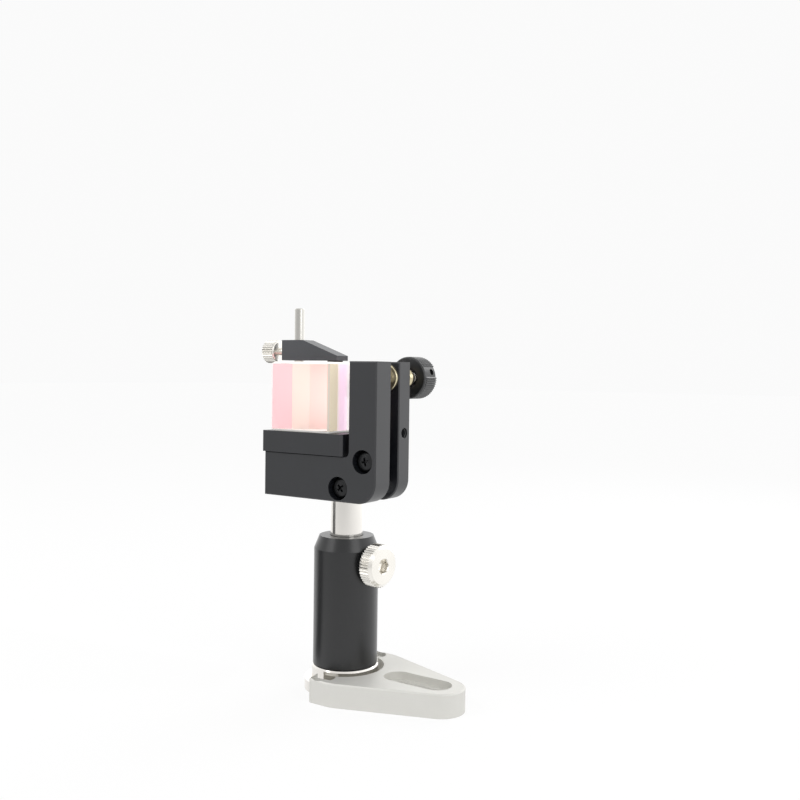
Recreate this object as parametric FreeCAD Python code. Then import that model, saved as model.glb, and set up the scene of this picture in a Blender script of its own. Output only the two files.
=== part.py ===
import FreeCAD, Part
import math
import os

# Two-axis kinematic prism mount on a post, in a post holder with a clamping fork. Millimetres.
# Origin: centre of the foot's underside, on the table. +Z is up, and -Y is the mount's front.
# +X runs from the holder along the fork's screw slot.

V = FreeCAD.Vector
X_AXIS, Y_AXIS, Z_AXIS = V(1, 0, 0), V(0, 1, 0), V(0, 0, 1)

# Clearances
RUNNING = 0.05            # radial, between a pin or screw and the bore that it turns or slides in
BALL_PLAY = 0.05          # between a ball and its seat
SLIP = 0.3                # round the foot's flange in the fork, and between a screw tip and the post
PROUD = 1.0               # how far a cutting tool starts outside the material
TOUCH = 1e-4              # a point this near an edge or plane lies on it
ALONG = 0.999             # least cosine between two directions that count as the same

# Cap screws, as shares of the head's height
SCREW_EDGE_SHARE = 1 / 12
SCREW_SOCKET_SHARE = 1 / 2
ROUND_MIDDLE = 1 - math.sqrt(0.5)    # how far a round's middle lies from each side, for radius 1
KNURL_STEP = 0.05         # from the roots of a knurl's teeth down to its lips

# Foot
FOOT_HEIGHT = 10.0
FOOT_NECK_DIA = 26.4
FOOT_FLANGE_DIA = 32.0
FOOT_FLANGE_HEIGHT = 4.6
FOOT_EDGE = 0.6

# Foot screw, set from inside the holder
FOOT_SCREW_DIA = 6.0
FOOT_SCREW_HEAD_DIA = 10.0
FOOT_SCREW_HEAD_HEIGHT = 6.0
FOOT_SCREW_KEY = 5.0
FOOT_SCREW_IN_FOOT = 6.2
FOOT_THREAD_SPARE = 0.8     # under the foot screw's end

# Clamping fork
FORK_TOP_DROP = 1.0       # the fork's top lies this far under the foot's top
FORK_LIP = 0.5            # how far the fork lies over the foot's flange
FORK_PRONG_HALF_WIDTH = 22.0
FORK_PRONG_ROOT_X = -4.6
FORK_PRONG_TIP_X = -1.4
FORK_SHOULDER_X = 9.5
FORK_NOSE_X = 44.0
FORK_NOSE_RADIUS = 9.4
FORK_TIP_ROUND = 2.5
FORK_SHOULDER_ROUND = 14.0
FORK_EDGE = 0.5
SLOT_LENGTH = 17.0        # between the centres of its round ends
SLOT_FROM_NOSE = 1.5      # between the outer end's centre and the nose's
SLOT_WIDTH = 6.6
SLOT_RECESS_WIDTH = 11.4
SLOT_RECESS_DEPTH = 3.0
SCOOP_X = 2.6
SCOOP_Y = 17.2
SCOOP_RADIUS = 4.6
SCOOP_DEPTH = 1.6

# Post holder
HOLDER_DIA = 25.4
HOLDER_TOP_DIA = 21.4
HOLDER_CONE_HEIGHT = 4.9
HOLDER_BORE_DEPTH = 46.0
HOLDER_FLOOR_THICKNESS = 4.8
HOLDER_MOUTH_BEVEL = 0.45
HOLDER_FOOT_EDGE = 0.5

# Holder thumbscrew
THUMB_BELOW_TOP = 9.95
THUMB_TURN = -7.0         # degrees about +Z from +X
THUMB_HEAD_DIA = 16.6
THUMB_HEAD_LENGTH = 5.9
THUMB_HEAD_BEVEL = 1.2
THUMB_HEAD_INNER_BEVEL = 0.4
THUMB_STAND_OFF = 1.2     # between the head and the holder's wall
THUMB_SHANK_DIA = 6.0
THUMB_KEY = 5.0
THUMB_KEY_DEPTH = 3.5
THUMB_TIP_DIA = 4.0
THUMB_TIP_LENGTH = 1.5
THUMB_TEETH = 44
THUMB_TOOTH_DEPTH = 0.45

# Post
POST_DIA = 12.7
POST_LENGTH = 45.0
POST_SHOWN = 15.8
POST_EDGE = 0.6
STUD_DIA = 4.0
STUD_IN_POST = 7.0
STUD_IN_PLATE = 6.5
STUD_HOLE_SPARE = 1.0

# Mount plates
PLATE_WIDTH = 53.0
PLATE_HEIGHT = 52.5
UPRIGHT_WIDTH = 12.4
FRONT_THICKNESS = 9.6
REAR_THICKNESS = 7.6
PLATE_GAP = 5.5
FRONT_ARM_HEIGHT = 17.1
REAR_ARM_DROP = 1.6       # between the rear arm's top and the platform
PLATE_CORNER_ROUND = 8.0
PLATE_NOTCH_ROUND = 1.75
PLATE_EDGE = 0.4
SIDE_HOLE_DIA = 4.0
SIDE_HOLE_DEPTH = 8.0
SIDE_HOLE_Z = 25.6        # above the plates' underside

# Three-point suspension, measured from the plates' right edge and underside
PIVOT_FROM_RIGHT = 5.9
PIVOT_Z = 5.7
TOP_SCREW_FROM_TOP = 6.0
SIDE_SCREW_FROM_LEFT = 5.9
BALL_DIA = 5.0
BALL_STAND_OFF = 1.5      # ball centre in front of the seat face
SEAT_DIA = 7.0
SEAT_THICKNESS = 3.2
SEAT_SLOPE = 45.0         # half angle of the cone and of the vee
PIVOT_STUD_DIA = 6.0

# Adjusters
ADJUSTER_DIA = 5.0
ADJUSTER_END_SET_BACK = 0.5
ADJUSTER_KEY = 2.5
ADJUSTER_KEY_DEPTH = 2.5
BUSHING_DIA = 7.6
BUSHING_FLANGE_DIA = 10.5
BUSHING_FLANGE_THICKNESS = 1.0
BUSHING_TAIL = 6.0
BUSHING_TAIL_BEVEL = 0.6
KNOB_DIA = 16.6
KNOB_LENGTH = 8.7
KNOB_STAND_OFF = 7.0      # between the rear plate and the knob
KNOB_BEVEL = 0.8
KNOB_TEETH = 60
KNOB_TOOTH_DEPTH = 0.35
KNOB_RECESS_DEPTH = 3.2
KNOB_RECESS_PLAY = 0.4
GRUB_DIA = 2.5
GRUB_LENGTH = 4.0
GRUB_KEY = 1.3
GRUB_KEY_DEPTH = 1.2
GRUB_PLAY = 0.1
GRUB_TURN = 18.0          # degrees above +X

# Preload screws and springs
PRELOAD_SHANK_DIA = 4.0
PRELOAD_HEAD_DIA = 7.4
PRELOAD_HEAD_HEIGHT = 2.6
PRELOAD_HEAD_ROUND = 1.0
PRELOAD_HEAD_SUNK = 1.5
PRELOAD_BORE_DIA = 8.9
PRELOAD_BORE_DEPTH = 8.1
PRELOAD_HOLE_DIA = 5.6
PRELOAD_IN_REAR = 6.6
PRELOAD_HIGH_Z = 15.6     # above the plates' underside, over the pivot
PRELOAD_LOW_FROM_RIGHT = 17.0
PRELOAD_LOW_Z = 5.0
CROSS_WIDTH = 0.9
CROSS_LENGTH = 3.8
CROSS_DEPTH = 1.3
SPRING_WIRE_DIA = 0.7     # across the corners of the wire's section
SPRING_WIRE_SIDES = 8
SPRING_MEAN_DIA = 6.0
SPRING_PITCH = 0.88
SPRING_STEPS = 12         # straight runs in a turn
MITRED = 1                # the sweep's setting for mitred corners
SPRING_PLAY = 1.1         # left for the tilt under the spring

# Prism platform
PLATFORM_THICKNESS = 8.2
PLATFORM_DEPTH = 29.0
PLATFORM_PROUD = 1.0      # in front of the front plate
PLATFORM_TO_UPRIGHT = 2.3
PLATFORM_BEVEL = 0.8
PLATFORM_SCREW_DIA = 3.0
PLATFORM_SCREW_LENGTH = 10.0
PLATFORM_SCREW_HEAD_DIA = 5.5
PLATFORM_SCREW_HEAD_HEIGHT = 3.0
PLATFORM_SCREW_KEY = 2.5
PLATFORM_SCREW_SUNK = 0.4
PLATFORM_SCREW_PLAY = 0.25
PLATFORM_SCREW_X = (-15.0, 3.0)

# Prism
PRISM_LEG = 28.0
PRISM_HEIGHT = 26.9
PRISM_BEVEL = 0.7
PRISM_FROM_LEFT = 3.4     # from the platform's left end
PRISM_FROM_FRONT = 0.9    # from the platform's front

# Prism clamp
ROD_DIA = 4.0
ROD_FROM_LEFT = 5.6       # from the platform's left end
ROD_Y = -5.0
ROD_IN_PLATFORM = 6.0
ROD_ABOVE_PLATE = 21.1    # the rod's top above the plates' top
ROD_EDGE = 0.4
PAD_DIA = 6.0
PAD_THICKNESS = 0.6
PAD_FROM_ROD = 18.0
ARM_LENGTH = 27.8
ARM_WIDTH = 7.0
ARM_HEIGHT = 8.1
ARM_TIP_HEIGHT = 1.9
ARM_BEHIND_ROD = 6.2
ARM_FLAT_LENGTH = 10.5
CLAMP_HEIGHT = 3.5        # the clamp screw above the arm's underside
CLAMP_SHANK_DIA = 3.0
CLAMP_HEAD_DIA = 9.4
CLAMP_HEAD_LENGTH = 6.4
CLAMP_STAND_OFF = 4.0     # between the arm's end and the head
CLAMP_HEAD_BEVEL = 0.7
CLAMP_HEAD_INNER_BEVEL = 0.35
CLAMP_TEETH = 32
CLAMP_TOOTH_DEPTH = 0.35
CLAMP_TIP_PLAY = 0.15     # between the screw's tip and the rod
CLAMP_TIP_DIA = 2.2
CLAMP_TIP_LENGTH = 1.2

# Places worked out from the sizes above
HOLDER_FLOOR = FOOT_HEIGHT + HOLDER_FLOOR_THICKNESS
HOLDER_TOP = HOLDER_FLOOR + HOLDER_BORE_DEPTH
HOLDER_BORE_DIA = POST_DIA + 2 * RUNNING
FOOT_SCREW_LENGTH = HOLDER_FLOOR_THICKNESS + FOOT_SCREW_IN_FOOT
FOOT_THREAD_DEPTH = FOOT_SCREW_IN_FOOT + FOOT_THREAD_SPARE
MOUNT_Z = HOLDER_TOP + POST_SHOWN
FORK_TOP = FOOT_HEIGHT - FORK_TOP_DROP
FORK_THROAT_RADIUS = FOOT_FLANGE_DIA / 2 - FORK_LIP
SLOT_END_X = FORK_NOSE_X - SLOT_FROM_NOSE
SLOT_START_X = SLOT_END_X - SLOT_LENGTH
THUMB_Z = HOLDER_TOP - THUMB_BELOW_TOP
LEFT, RIGHT = -PLATE_WIDTH / 2, PLATE_WIDTH / 2
REAR_FRONT_Y = -REAR_THICKNESS / 2
REAR_BACK_Y = REAR_THICKNESS / 2
FRONT_BACK_Y = REAR_FRONT_Y - PLATE_GAP
FRONT_FACE_Y = FRONT_BACK_Y - FRONT_THICKNESS
BALL_Y = FRONT_BACK_Y + BALL_STAND_OFF
PIVOT = V(RIGHT - PIVOT_FROM_RIGHT, BALL_Y, MOUNT_Z + PIVOT_Z)
TOP_SCREW = V(PIVOT.x, BALL_Y, MOUNT_Z + PLATE_HEIGHT - TOP_SCREW_FROM_TOP)
SIDE_SCREW = V(LEFT + SIDE_SCREW_FROM_LEFT, BALL_Y, PIVOT.z)
KNOB_Y = REAR_BACK_Y + KNOB_STAND_OFF
ADJUSTER_END_Y = KNOB_Y + KNOB_LENGTH - ADJUSTER_END_SET_BACK
PRELOAD_FLOOR_Y = FRONT_FACE_Y + PRELOAD_BORE_DEPTH
PRELOAD_HEAD_Y = FRONT_FACE_Y + PRELOAD_HEAD_SUNK
PRELOAD_PLACES = (
    V(PIVOT.x, PRELOAD_HEAD_Y, MOUNT_Z + PRELOAD_HIGH_Z),
    V(RIGHT - PRELOAD_LOW_FROM_RIGHT, PRELOAD_HEAD_Y, MOUNT_Z + PRELOAD_LOW_Z),
)
PLATFORM_Z = MOUNT_Z + FRONT_ARM_HEIGHT
PLATFORM_TOP = PLATFORM_Z + PLATFORM_THICKNESS
PLATFORM_FRONT_Y = FRONT_FACE_Y - PLATFORM_PROUD
PLATFORM_RIGHT = RIGHT - UPRIGHT_WIDTH - PLATFORM_TO_UPRIGHT
PLATFORM_SCREW_Y = (FRONT_FACE_Y + FRONT_BACK_Y) / 2
PRISM_TOP = PLATFORM_TOP + PRISM_HEIGHT
ROD_X = LEFT + ROD_FROM_LEFT
ROD_TOP = MOUNT_Z + PLATE_HEIGHT + ROD_ABOVE_PLATE
ARM_Z = PRISM_TOP + PAD_THICKNESS
ARM_LEFT = ROD_X - ARM_BEHIND_ROD
CLAMP_Z = ARM_Z + CLAMP_HEIGHT


def rod_between(start, end, radius):
    """Round bar from one point to another."""
    path = end.sub(start)
    return Part.makeCylinder(radius, path.Length, start, path)


def turned(outline, base, axis):
    """Solid of revolution from (radius, height) points, standing on base along axis."""
    points = [V(radius, 0, height) for radius, height in outline]
    face = Part.Face(Part.makePolygon(points + points[:1]))
    solid = face.revolve(V(0, 0, 0), Z_AXIS, 360)
    solid.Placement = FreeCAD.Placement(base, FreeCAD.Rotation(Z_AXIS, axis))
    return solid


def prism_of(points, height):
    """Straight prism on a flat polygon."""
    return Part.Face(Part.makePolygon(points + points[:1])).extrude(height)


def ring_points(radius, count):
    """Evenly spaced points on a level circle about the origin."""
    angles = [2 * math.pi * i / count for i in range(count)]
    return [V(radius * math.cos(angle), radius * math.sin(angle), 0) for angle in angles]


def hexagon_bar(start, end, across_flats):
    """Six-sided bar, the form of a key socket."""
    path = end.sub(start)
    bar = prism_of(ring_points(across_flats / math.sqrt(3), 6), V(0, 0, path.Length))
    bar.Placement = FreeCAD.Placement(start, FreeCAD.Rotation(Z_AXIS, path))
    return bar


def edges_through(shape, *points):
    """Edges of the shape that pass through the given points."""
    return [
        edge for edge in shape.Edges
        if any(edge.distToShape(Part.Vertex(point))[0] < TOUCH for point in points)
    ]


def straight_edges(shape, direction, *points):
    """Straight edges along a direction that pass through the given points."""
    return [
        edge for edge in edges_through(shape, *points)
        if isinstance(edge.Curve, Part.Line) and abs(edge.Curve.Direction.dot(direction)) > ALONG
    ]


def edges_in_plane(shape, point, normal):
    """Edges whose ends all lie in the plane through a point."""
    return [
        edge for edge in shape.Edges
        if all(abs((vertex.Point - point).dot(normal)) < TOUCH for vertex in edge.Vertexes)
    ]


def knurled_head(base, axis, radius, length, bevels, teeth, depth):
    """Head with a plain bevelled lip at each end and straight teeth between them."""
    low, high = bevels
    lip = radius - depth - KNURL_STEP
    core = turned([
        (0, 0), (lip - low, 0), (lip, low), (lip, length - high), (lip - high, length), (0, length),
    ], base, axis)
    points = []
    for i in range(2 * teeth):
        angle = math.pi * i / teeth
        reach = radius - (depth if i % 2 else 0)
        points.append(V(reach * math.cos(angle), reach * math.sin(angle), 0))
    band = prism_of(points, V(0, 0, length - low - high))
    band.Placement = FreeCAD.Placement(base + axis * low, FreeCAD.Rotation(Z_AXIS, axis))
    return core.fuse(band)


def holder_foot():
    """Turned foot: a flange that the fork presses down, and a neck that carries the holder."""
    neck, flange = FOOT_NECK_DIA / 2, FOOT_FLANGE_DIA / 2
    outline = [
        (0, 0), (flange - FOOT_EDGE, 0), (flange, FOOT_EDGE), (flange, FOOT_FLANGE_HEIGHT),
        (neck, FOOT_FLANGE_HEIGHT), (neck, FOOT_HEIGHT - FOOT_EDGE), (neck - FOOT_EDGE, FOOT_HEIGHT),
        (0, FOOT_HEIGHT),
    ]
    foot = turned(outline, V(0, 0, 0), Z_AXIS)
    thread_floor = V(0, 0, FOOT_HEIGHT - FOOT_THREAD_DEPTH)
    return foot.cut(Part.makeCylinder(FOOT_SCREW_DIA / 2, FOOT_THREAD_DEPTH, thread_floor))


def socket_screw(seat, axis, shank_dia, shank_length, head_dia, head_height, key):
    """Cap screw whose head stands on seat, with its shank against axis."""
    head_radius, shank_radius = head_dia / 2, shank_dia / 2
    edge = head_height * SCREW_EDGE_SHARE
    outline = [
        (0, -shank_length), (shank_radius - edge, -shank_length), (shank_radius, edge - shank_length),
        (shank_radius, 0), (head_radius, 0), (head_radius, head_height - edge),
        (head_radius - edge, head_height), (0, head_height),
    ]
    screw = turned(outline, seat, axis)
    top = seat + axis * head_height
    socket_floor = top - axis * (head_height * SCREW_SOCKET_SHARE)
    return screw.cut(hexagon_bar(socket_floor, top + axis * PROUD, key))


def foot_screw():
    """Cap screw that draws the holder down on its foot."""
    return socket_screw(
        V(0, 0, HOLDER_FLOOR), Z_AXIS, FOOT_SCREW_DIA, FOOT_SCREW_LENGTH,
        FOOT_SCREW_HEAD_DIA, FOOT_SCREW_HEAD_HEIGHT, FOOT_SCREW_KEY,
    )


def nose_tangent():
    """Point where the fork's tapered side runs into its round nose."""
    side = V(FORK_SHOULDER_X - FORK_NOSE_X, FORK_PRONG_HALF_WIDTH, 0)
    angle = math.atan2(side.y, side.x) - math.acos(FORK_NOSE_RADIUS / side.Length)
    return V(FORK_NOSE_X + FORK_NOSE_RADIUS * math.cos(angle), FORK_NOSE_RADIUS * math.sin(angle), 0)


def fork_outline():
    """Fork seen from above: two prongs, a shoulder and sides that taper to a round nose."""
    side = [
        V(FORK_PRONG_ROOT_X, 0, 0), V(FORK_PRONG_TIP_X, FORK_PRONG_HALF_WIDTH, 0),
        V(FORK_SHOULDER_X, FORK_PRONG_HALF_WIDTH, 0), nose_tangent(),
    ]
    mirrored = [V(point.x, -point.y, 0) for point in reversed(side[1:])]
    plate = prism_of(side + mirrored, V(0, 0, FORK_TOP))
    for y in (FORK_PRONG_HALF_WIDTH, -FORK_PRONG_HALF_WIDTH):
        tip = V(FORK_PRONG_TIP_X, y, FORK_TOP / 2)
        plate = plate.makeFillet(FORK_TIP_ROUND, straight_edges(plate, Z_AXIS, tip))
        shoulder = V(FORK_SHOULDER_X, y, FORK_TOP / 2)
        plate = plate.makeFillet(FORK_SHOULDER_ROUND, straight_edges(plate, Z_AXIS, shoulder))
    nose = Part.makeCylinder(FORK_NOSE_RADIUS, FORK_TOP, V(FORK_NOSE_X, 0, 0))
    return plate.fuse(nose).removeSplitter()


def slot_cutter(width, bottom, top):
    """Round-ended slot along the fork."""
    radius = width / 2
    ends = [Part.makeCylinder(radius, top - bottom, V(x, 0, bottom)) for x in (SLOT_START_X, SLOT_END_X)]
    middle = Part.makeBox(SLOT_END_X - SLOT_START_X, width, top - bottom, V(SLOT_START_X, -radius, bottom))
    return middle.fuse(ends)


def base_fork():
    """Clamping fork, whose lip lies on the foot's flange and whose slot takes the table screw."""
    fork = fork_outline()
    fork = fork.makeChamfer(FORK_EDGE, edges_in_plane(fork, V(0, 0, FORK_TOP), Z_AXIS))
    mouth = 2 * FORK_PRONG_HALF_WIDTH
    throat = Part.makeCylinder(FORK_THROAT_RADIUS, FORK_TOP + 2 * PROUD, V(0, 0, -PROUD))
    room, pocket_height = FOOT_FLANGE_DIA / 2 + SLIP, FOOT_FLANGE_HEIGHT + PROUD
    pocket = Part.makeCylinder(room, pocket_height, V(0, 0, -PROUD))
    pocket_way = Part.makeBox(mouth, 2 * room, pocket_height, V(-mouth, -room, -PROUD))
    fork = fork.cut([throat, pocket, pocket_way])
    fork = fork.cut(slot_cutter(SLOT_WIDTH, -PROUD, FORK_TOP + PROUD))
    fork = fork.cut(slot_cutter(SLOT_RECESS_WIDTH, FORK_TOP - SLOT_RECESS_DEPTH, FORK_TOP + PROUD))
    scoops = [
        Part.makeCylinder(SCOOP_RADIUS, SCOOP_DEPTH + PROUD, V(SCOOP_X, y, FORK_TOP - SCOOP_DEPTH))
        for y in (SCOOP_Y, -SCOOP_Y)
    ]
    return fork.cut(scoops)


def thumb_axis():
    """Direction of the holder's thumbscrew, outwards."""
    angle = math.radians(THUMB_TURN)
    return V(math.cos(angle), math.sin(angle), 0)


def post_holder():
    """Holder: a turned tube with a coned top, a floor for the foot screw and a thumbscrew hole."""
    radius, bore = HOLDER_DIA / 2, HOLDER_BORE_DIA / 2
    mouth = bore + HOLDER_MOUTH_BEVEL
    outline = [
        (FOOT_SCREW_DIA / 2, FOOT_HEIGHT), (radius - HOLDER_FOOT_EDGE, FOOT_HEIGHT),
        (radius, FOOT_HEIGHT + HOLDER_FOOT_EDGE), (radius, HOLDER_TOP - HOLDER_CONE_HEIGHT),
        (HOLDER_TOP_DIA / 2, HOLDER_TOP), (mouth, HOLDER_TOP), (bore, HOLDER_TOP - HOLDER_MOUTH_BEVEL),
        (bore, HOLDER_FLOOR), (FOOT_SCREW_DIA / 2, HOLDER_FLOOR),
    ]
    tube = turned(outline, V(0, 0, 0), Z_AXIS)
    centre = V(0, 0, THUMB_Z)
    hole = rod_between(centre, centre + thumb_axis() * HOLDER_DIA, THUMB_SHANK_DIA / 2 + RUNNING)
    return tube.cut(hole)


def holder_thumbscrew():
    """Knurled screw that clamps the post."""
    axis, centre = thumb_axis(), V(0, 0, THUMB_Z)
    head_base = centre + axis * (HOLDER_DIA / 2 + THUMB_STAND_OFF)
    end = head_base + axis * THUMB_HEAD_LENGTH
    head = knurled_head(
        head_base, axis, THUMB_HEAD_DIA / 2, THUMB_HEAD_LENGTH,
        (THUMB_HEAD_INNER_BEVEL, THUMB_HEAD_BEVEL), THUMB_TEETH, THUMB_TOOTH_DEPTH,
    )
    tip = centre + axis * (POST_DIA / 2 + SLIP + THUMB_TIP_LENGTH)
    screw = head.fuse(rod_between(tip, head_base, THUMB_SHANK_DIA / 2)).removeSplitter()
    return screw.cut(hexagon_bar(end - axis * THUMB_KEY_DEPTH, end + axis * PROUD, THUMB_KEY))


def thumbscrew_tip():
    """Soft tip on the thumbscrew, next to the post."""
    axis, centre = thumb_axis(), V(0, 0, THUMB_Z)
    start = POST_DIA / 2 + SLIP
    return rod_between(centre + axis * start, centre + axis * (start + THUMB_TIP_LENGTH), THUMB_TIP_DIA / 2)


def post():
    """Ground post with a tapped top."""
    radius = POST_DIA / 2
    outline = [
        (0, MOUNT_Z - POST_LENGTH), (radius - POST_EDGE, MOUNT_Z - POST_LENGTH),
        (radius, MOUNT_Z - POST_LENGTH + POST_EDGE), (radius, MOUNT_Z - POST_EDGE),
        (radius - POST_EDGE, MOUNT_Z), (0, MOUNT_Z),
    ]
    bar = turned(outline, V(0, 0, 0), Z_AXIS)
    depth = STUD_IN_POST + STUD_HOLE_SPARE
    return bar.cut(Part.makeCylinder(STUD_DIA / 2, depth, V(0, 0, MOUNT_Z - depth)))


def post_stud():
    """Stud between the post and the rear plate."""
    return rod_between(V(0, 0, MOUNT_Z - STUD_IN_POST), V(0, 0, MOUNT_Z + STUD_IN_PLATE), STUD_DIA / 2)


def l_plate(front_y, thickness, arm_height):
    """L-shaped plate with an upright on the right, a rounded foot corner and a filleted notch."""
    inner = RIGHT - UPRIGHT_WIDTH
    top, arm = MOUNT_Z + PLATE_HEIGHT, MOUNT_Z + arm_height
    corners = [(LEFT, MOUNT_Z), (RIGHT, MOUNT_Z), (RIGHT, top), (inner, top), (inner, arm), (LEFT, arm)]
    plate = prism_of([V(x, front_y, z) for x, z in corners], V(0, thickness, 0))
    middle = front_y + thickness / 2
    plate = plate.makeFillet(PLATE_CORNER_ROUND, straight_edges(plate, Y_AXIS, V(RIGHT, middle, MOUNT_Z)))
    plate = plate.makeFillet(PLATE_NOTCH_ROUND, straight_edges(plate, Y_AXIS, V(inner, middle, arm)))
    face = min(plate.Faces, key=lambda item: item.CenterOfMass.y)
    back = max(plate.Faces, key=lambda item: item.CenterOfMass.y)
    return plate.makeChamfer(PLATE_EDGE, face.Edges + back.Edges)


def bore_y(place, radius, start_y, end_y):
    """Round cutter or bar along Y, through the place's x and z."""
    return rod_between(V(place.x, start_y, place.z), V(place.x, end_y, place.z), radius)


def rear_plate():
    """Fixed plate: carries the post, both adjusters, the pivot stud and the preload screws."""
    plate = l_plate(REAR_FRONT_Y, REAR_THICKNESS, FRONT_ARM_HEIGHT - REAR_ARM_DROP)
    through = (REAR_FRONT_Y - PROUD, REAR_BACK_Y + PROUD)
    cutters = [bore_y(place, BUSHING_DIA / 2, *through) for place in (TOP_SCREW, SIDE_SCREW)]
    cutters.append(bore_y(PIVOT, PIVOT_STUD_DIA / 2, *through))
    preload_end = REAR_FRONT_Y + PRELOAD_IN_REAR
    cutters += [bore_y(place, PRELOAD_SHANK_DIA / 2, through[0], preload_end) for place in PRELOAD_PLACES]
    stud_top = MOUNT_Z + STUD_IN_PLATE + STUD_HOLE_SPARE
    cutters.append(rod_between(V(0, 0, MOUNT_Z - PROUD), V(0, 0, stud_top), STUD_DIA / 2 + RUNNING))
    side_mouth = V(RIGHT, 0, MOUNT_Z + SIDE_HOLE_Z)
    side_floor = side_mouth - X_AXIS * SIDE_HOLE_DEPTH
    cutters.append(rod_between(side_floor, side_mouth + X_AXIS * PROUD, SIDE_HOLE_DIA / 2))
    return plate.cut(cutters)


def bushing(place):
    """Threaded adjuster bushing: front flange, body and a bevelled tail behind the plate."""
    flange, body, bevel = BUSHING_FLANGE_DIA / 2, BUSHING_DIA / 2, BUSHING_TAIL_BEVEL
    bore = ADJUSTER_DIA / 2 + RUNNING
    length = BUSHING_FLANGE_THICKNESS + REAR_THICKNESS + BUSHING_TAIL
    outline = [
        (bore, 0), (flange, 0), (flange, BUSHING_FLANGE_THICKNESS), (body, BUSHING_FLANGE_THICKNESS),
        (body, length - bevel), (body - bevel, length), (bore, length),
    ]
    return turned(outline, V(place.x, REAR_FRONT_Y - BUSHING_FLANGE_THICKNESS, place.z), Y_AXIS)


def adjuster_screw(place):
    """Fine screw with a ball nose and a key socket in its outer end."""
    bar = bore_y(place, ADJUSTER_DIA / 2, BALL_Y, ADJUSTER_END_Y)
    nose = Part.makeSphere(BALL_DIA / 2, place)
    end = V(place.x, ADJUSTER_END_Y, place.z)
    key = hexagon_bar(end - Y_AXIS * ADJUSTER_KEY_DEPTH, end + Y_AXIS * PROUD, ADJUSTER_KEY)
    return bar.fuse(nose).removeSplitter().cut(key)


def grub_direction():
    """Direction of the grub screw's hole, outwards from the knob's axis."""
    angle = math.radians(GRUB_TURN)
    return V(math.cos(angle), 0, math.sin(angle))


def knob(place):
    """Knurled knob with a front recess that passes over the bushing's tail."""
    base = V(place.x, KNOB_Y, place.z)
    head = knurled_head(
        base, Y_AXIS, KNOB_DIA / 2, KNOB_LENGTH, (KNOB_BEVEL, KNOB_BEVEL), KNOB_TEETH, KNOB_TOOTH_DEPTH,
    )
    front, back = KNOB_Y - PROUD, KNOB_Y + KNOB_LENGTH + PROUD
    bore = bore_y(place, ADJUSTER_DIA / 2 + RUNNING, front, back)
    recess = bore_y(place, BUSHING_DIA / 2 + KNOB_RECESS_PLAY, front, KNOB_Y + KNOB_RECESS_DEPTH)
    centre = base + Y_AXIS * grub_y()
    grub_hole = rod_between(centre, centre + grub_direction() * KNOB_DIA, GRUB_DIA / 2)
    return head.cut([bore, recess, grub_hole])


def grub_y():
    """Grub screw's place along the knob, in the solid part behind the recess."""
    return (KNOB_RECESS_DEPTH + KNOB_LENGTH) / 2


def knob_grub_screw(place):
    """Socket grub screw that holds the knob on its screw."""
    centre = V(place.x, KNOB_Y + grub_y(), place.z)
    out = grub_direction()
    start = centre + out * (ADJUSTER_DIA / 2 + GRUB_PLAY)
    end = start + out * GRUB_LENGTH
    socket = hexagon_bar(end - out * GRUB_KEY_DEPTH, end + out * PROUD, GRUB_KEY)
    return rod_between(start, end, GRUB_DIA / 2).cut(socket)


def seat_reach():
    """Distance from the ball's centre to the point of its cone or vee."""
    return (BALL_DIA / 2 + BALL_PLAY) / math.sin(math.radians(SEAT_SLOPE))


def cone_cutter(centre, direction):
    """Cone that opens from its point in the seat towards the ball's centre."""
    reach = seat_reach()
    mouth = reach * math.tan(math.radians(SEAT_SLOPE))
    return Part.makeCone(0, mouth, reach, centre + direction * reach, direction * -1)


def pivot_stud():
    """Hardened stud in the rear plate, with a coned cup for the pivot ball."""
    stud = bore_y(PIVOT, PIVOT_STUD_DIA / 2, BALL_Y + BALL_STAND_OFF, REAR_BACK_Y)
    return stud.cut(cone_cutter(PIVOT, Y_AXIS))


def pivot_ball():
    """Ball that the front plate turns on."""
    return Part.makeSphere(BALL_DIA / 2, PIVOT)


def seat_blank(place, face_y):
    """Round seat let into the front plate's back."""
    return bore_y(place, SEAT_DIA / 2, FRONT_BACK_Y - SEAT_THICKNESS, face_y)


def cone_seat():
    """Coned seat at the pivot."""
    return seat_blank(PIVOT, FRONT_BACK_Y).cut(cone_cutter(PIVOT, Y_AXIS * -1))


def vee_seat():
    """Grooved seat at the side adjuster, its vee pointing at the pivot."""
    reach = seat_reach()
    half = reach * math.tan(math.radians(SEAT_SLOPE))
    x, z = SIDE_SCREW.x - SEAT_DIA, SIDE_SCREW.z
    outline = [V(x, BALL_Y - reach, z), V(x, BALL_Y, z - half), V(x, BALL_Y, z + half)]
    groove = prism_of(outline, X_AXIS * (2 * SEAT_DIA))
    return seat_blank(SIDE_SCREW, FRONT_BACK_Y).cut(groove)


def flat_seat():
    """Flat seat at the top adjuster, one ball radius in front of the ball's centre."""
    return seat_blank(TOP_SCREW, BALL_Y - BALL_DIA / 2 - BALL_PLAY)


def preload_screw(place):
    """Pan-head cross screw that holds the plates together through a spring."""
    head, shank = PRELOAD_HEAD_DIA / 2, PRELOAD_SHANK_DIA / 2
    step = PRELOAD_HEAD_ROUND * ROUND_MIDDLE
    end = REAR_FRONT_Y + PRELOAD_IN_REAR - place.y
    screw = turned([
        (0, 0), (head - PRELOAD_HEAD_ROUND, 0), (head - step, step), (head, PRELOAD_HEAD_ROUND),
        (head, PRELOAD_HEAD_HEIGHT), (shank, PRELOAD_HEAD_HEIGHT), (shank, end), (0, end),
    ], place, Y_AXIS)
    for size_x, size_z in ((CROSS_LENGTH, CROSS_WIDTH), (CROSS_WIDTH, CROSS_LENGTH)):
        corner = V(place.x - size_x / 2, place.y - PROUD, place.z - size_z / 2)
        screw = screw.cut(Part.makeBox(size_x, CROSS_DEPTH + PROUD, size_z, corner))
    return screw


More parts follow.
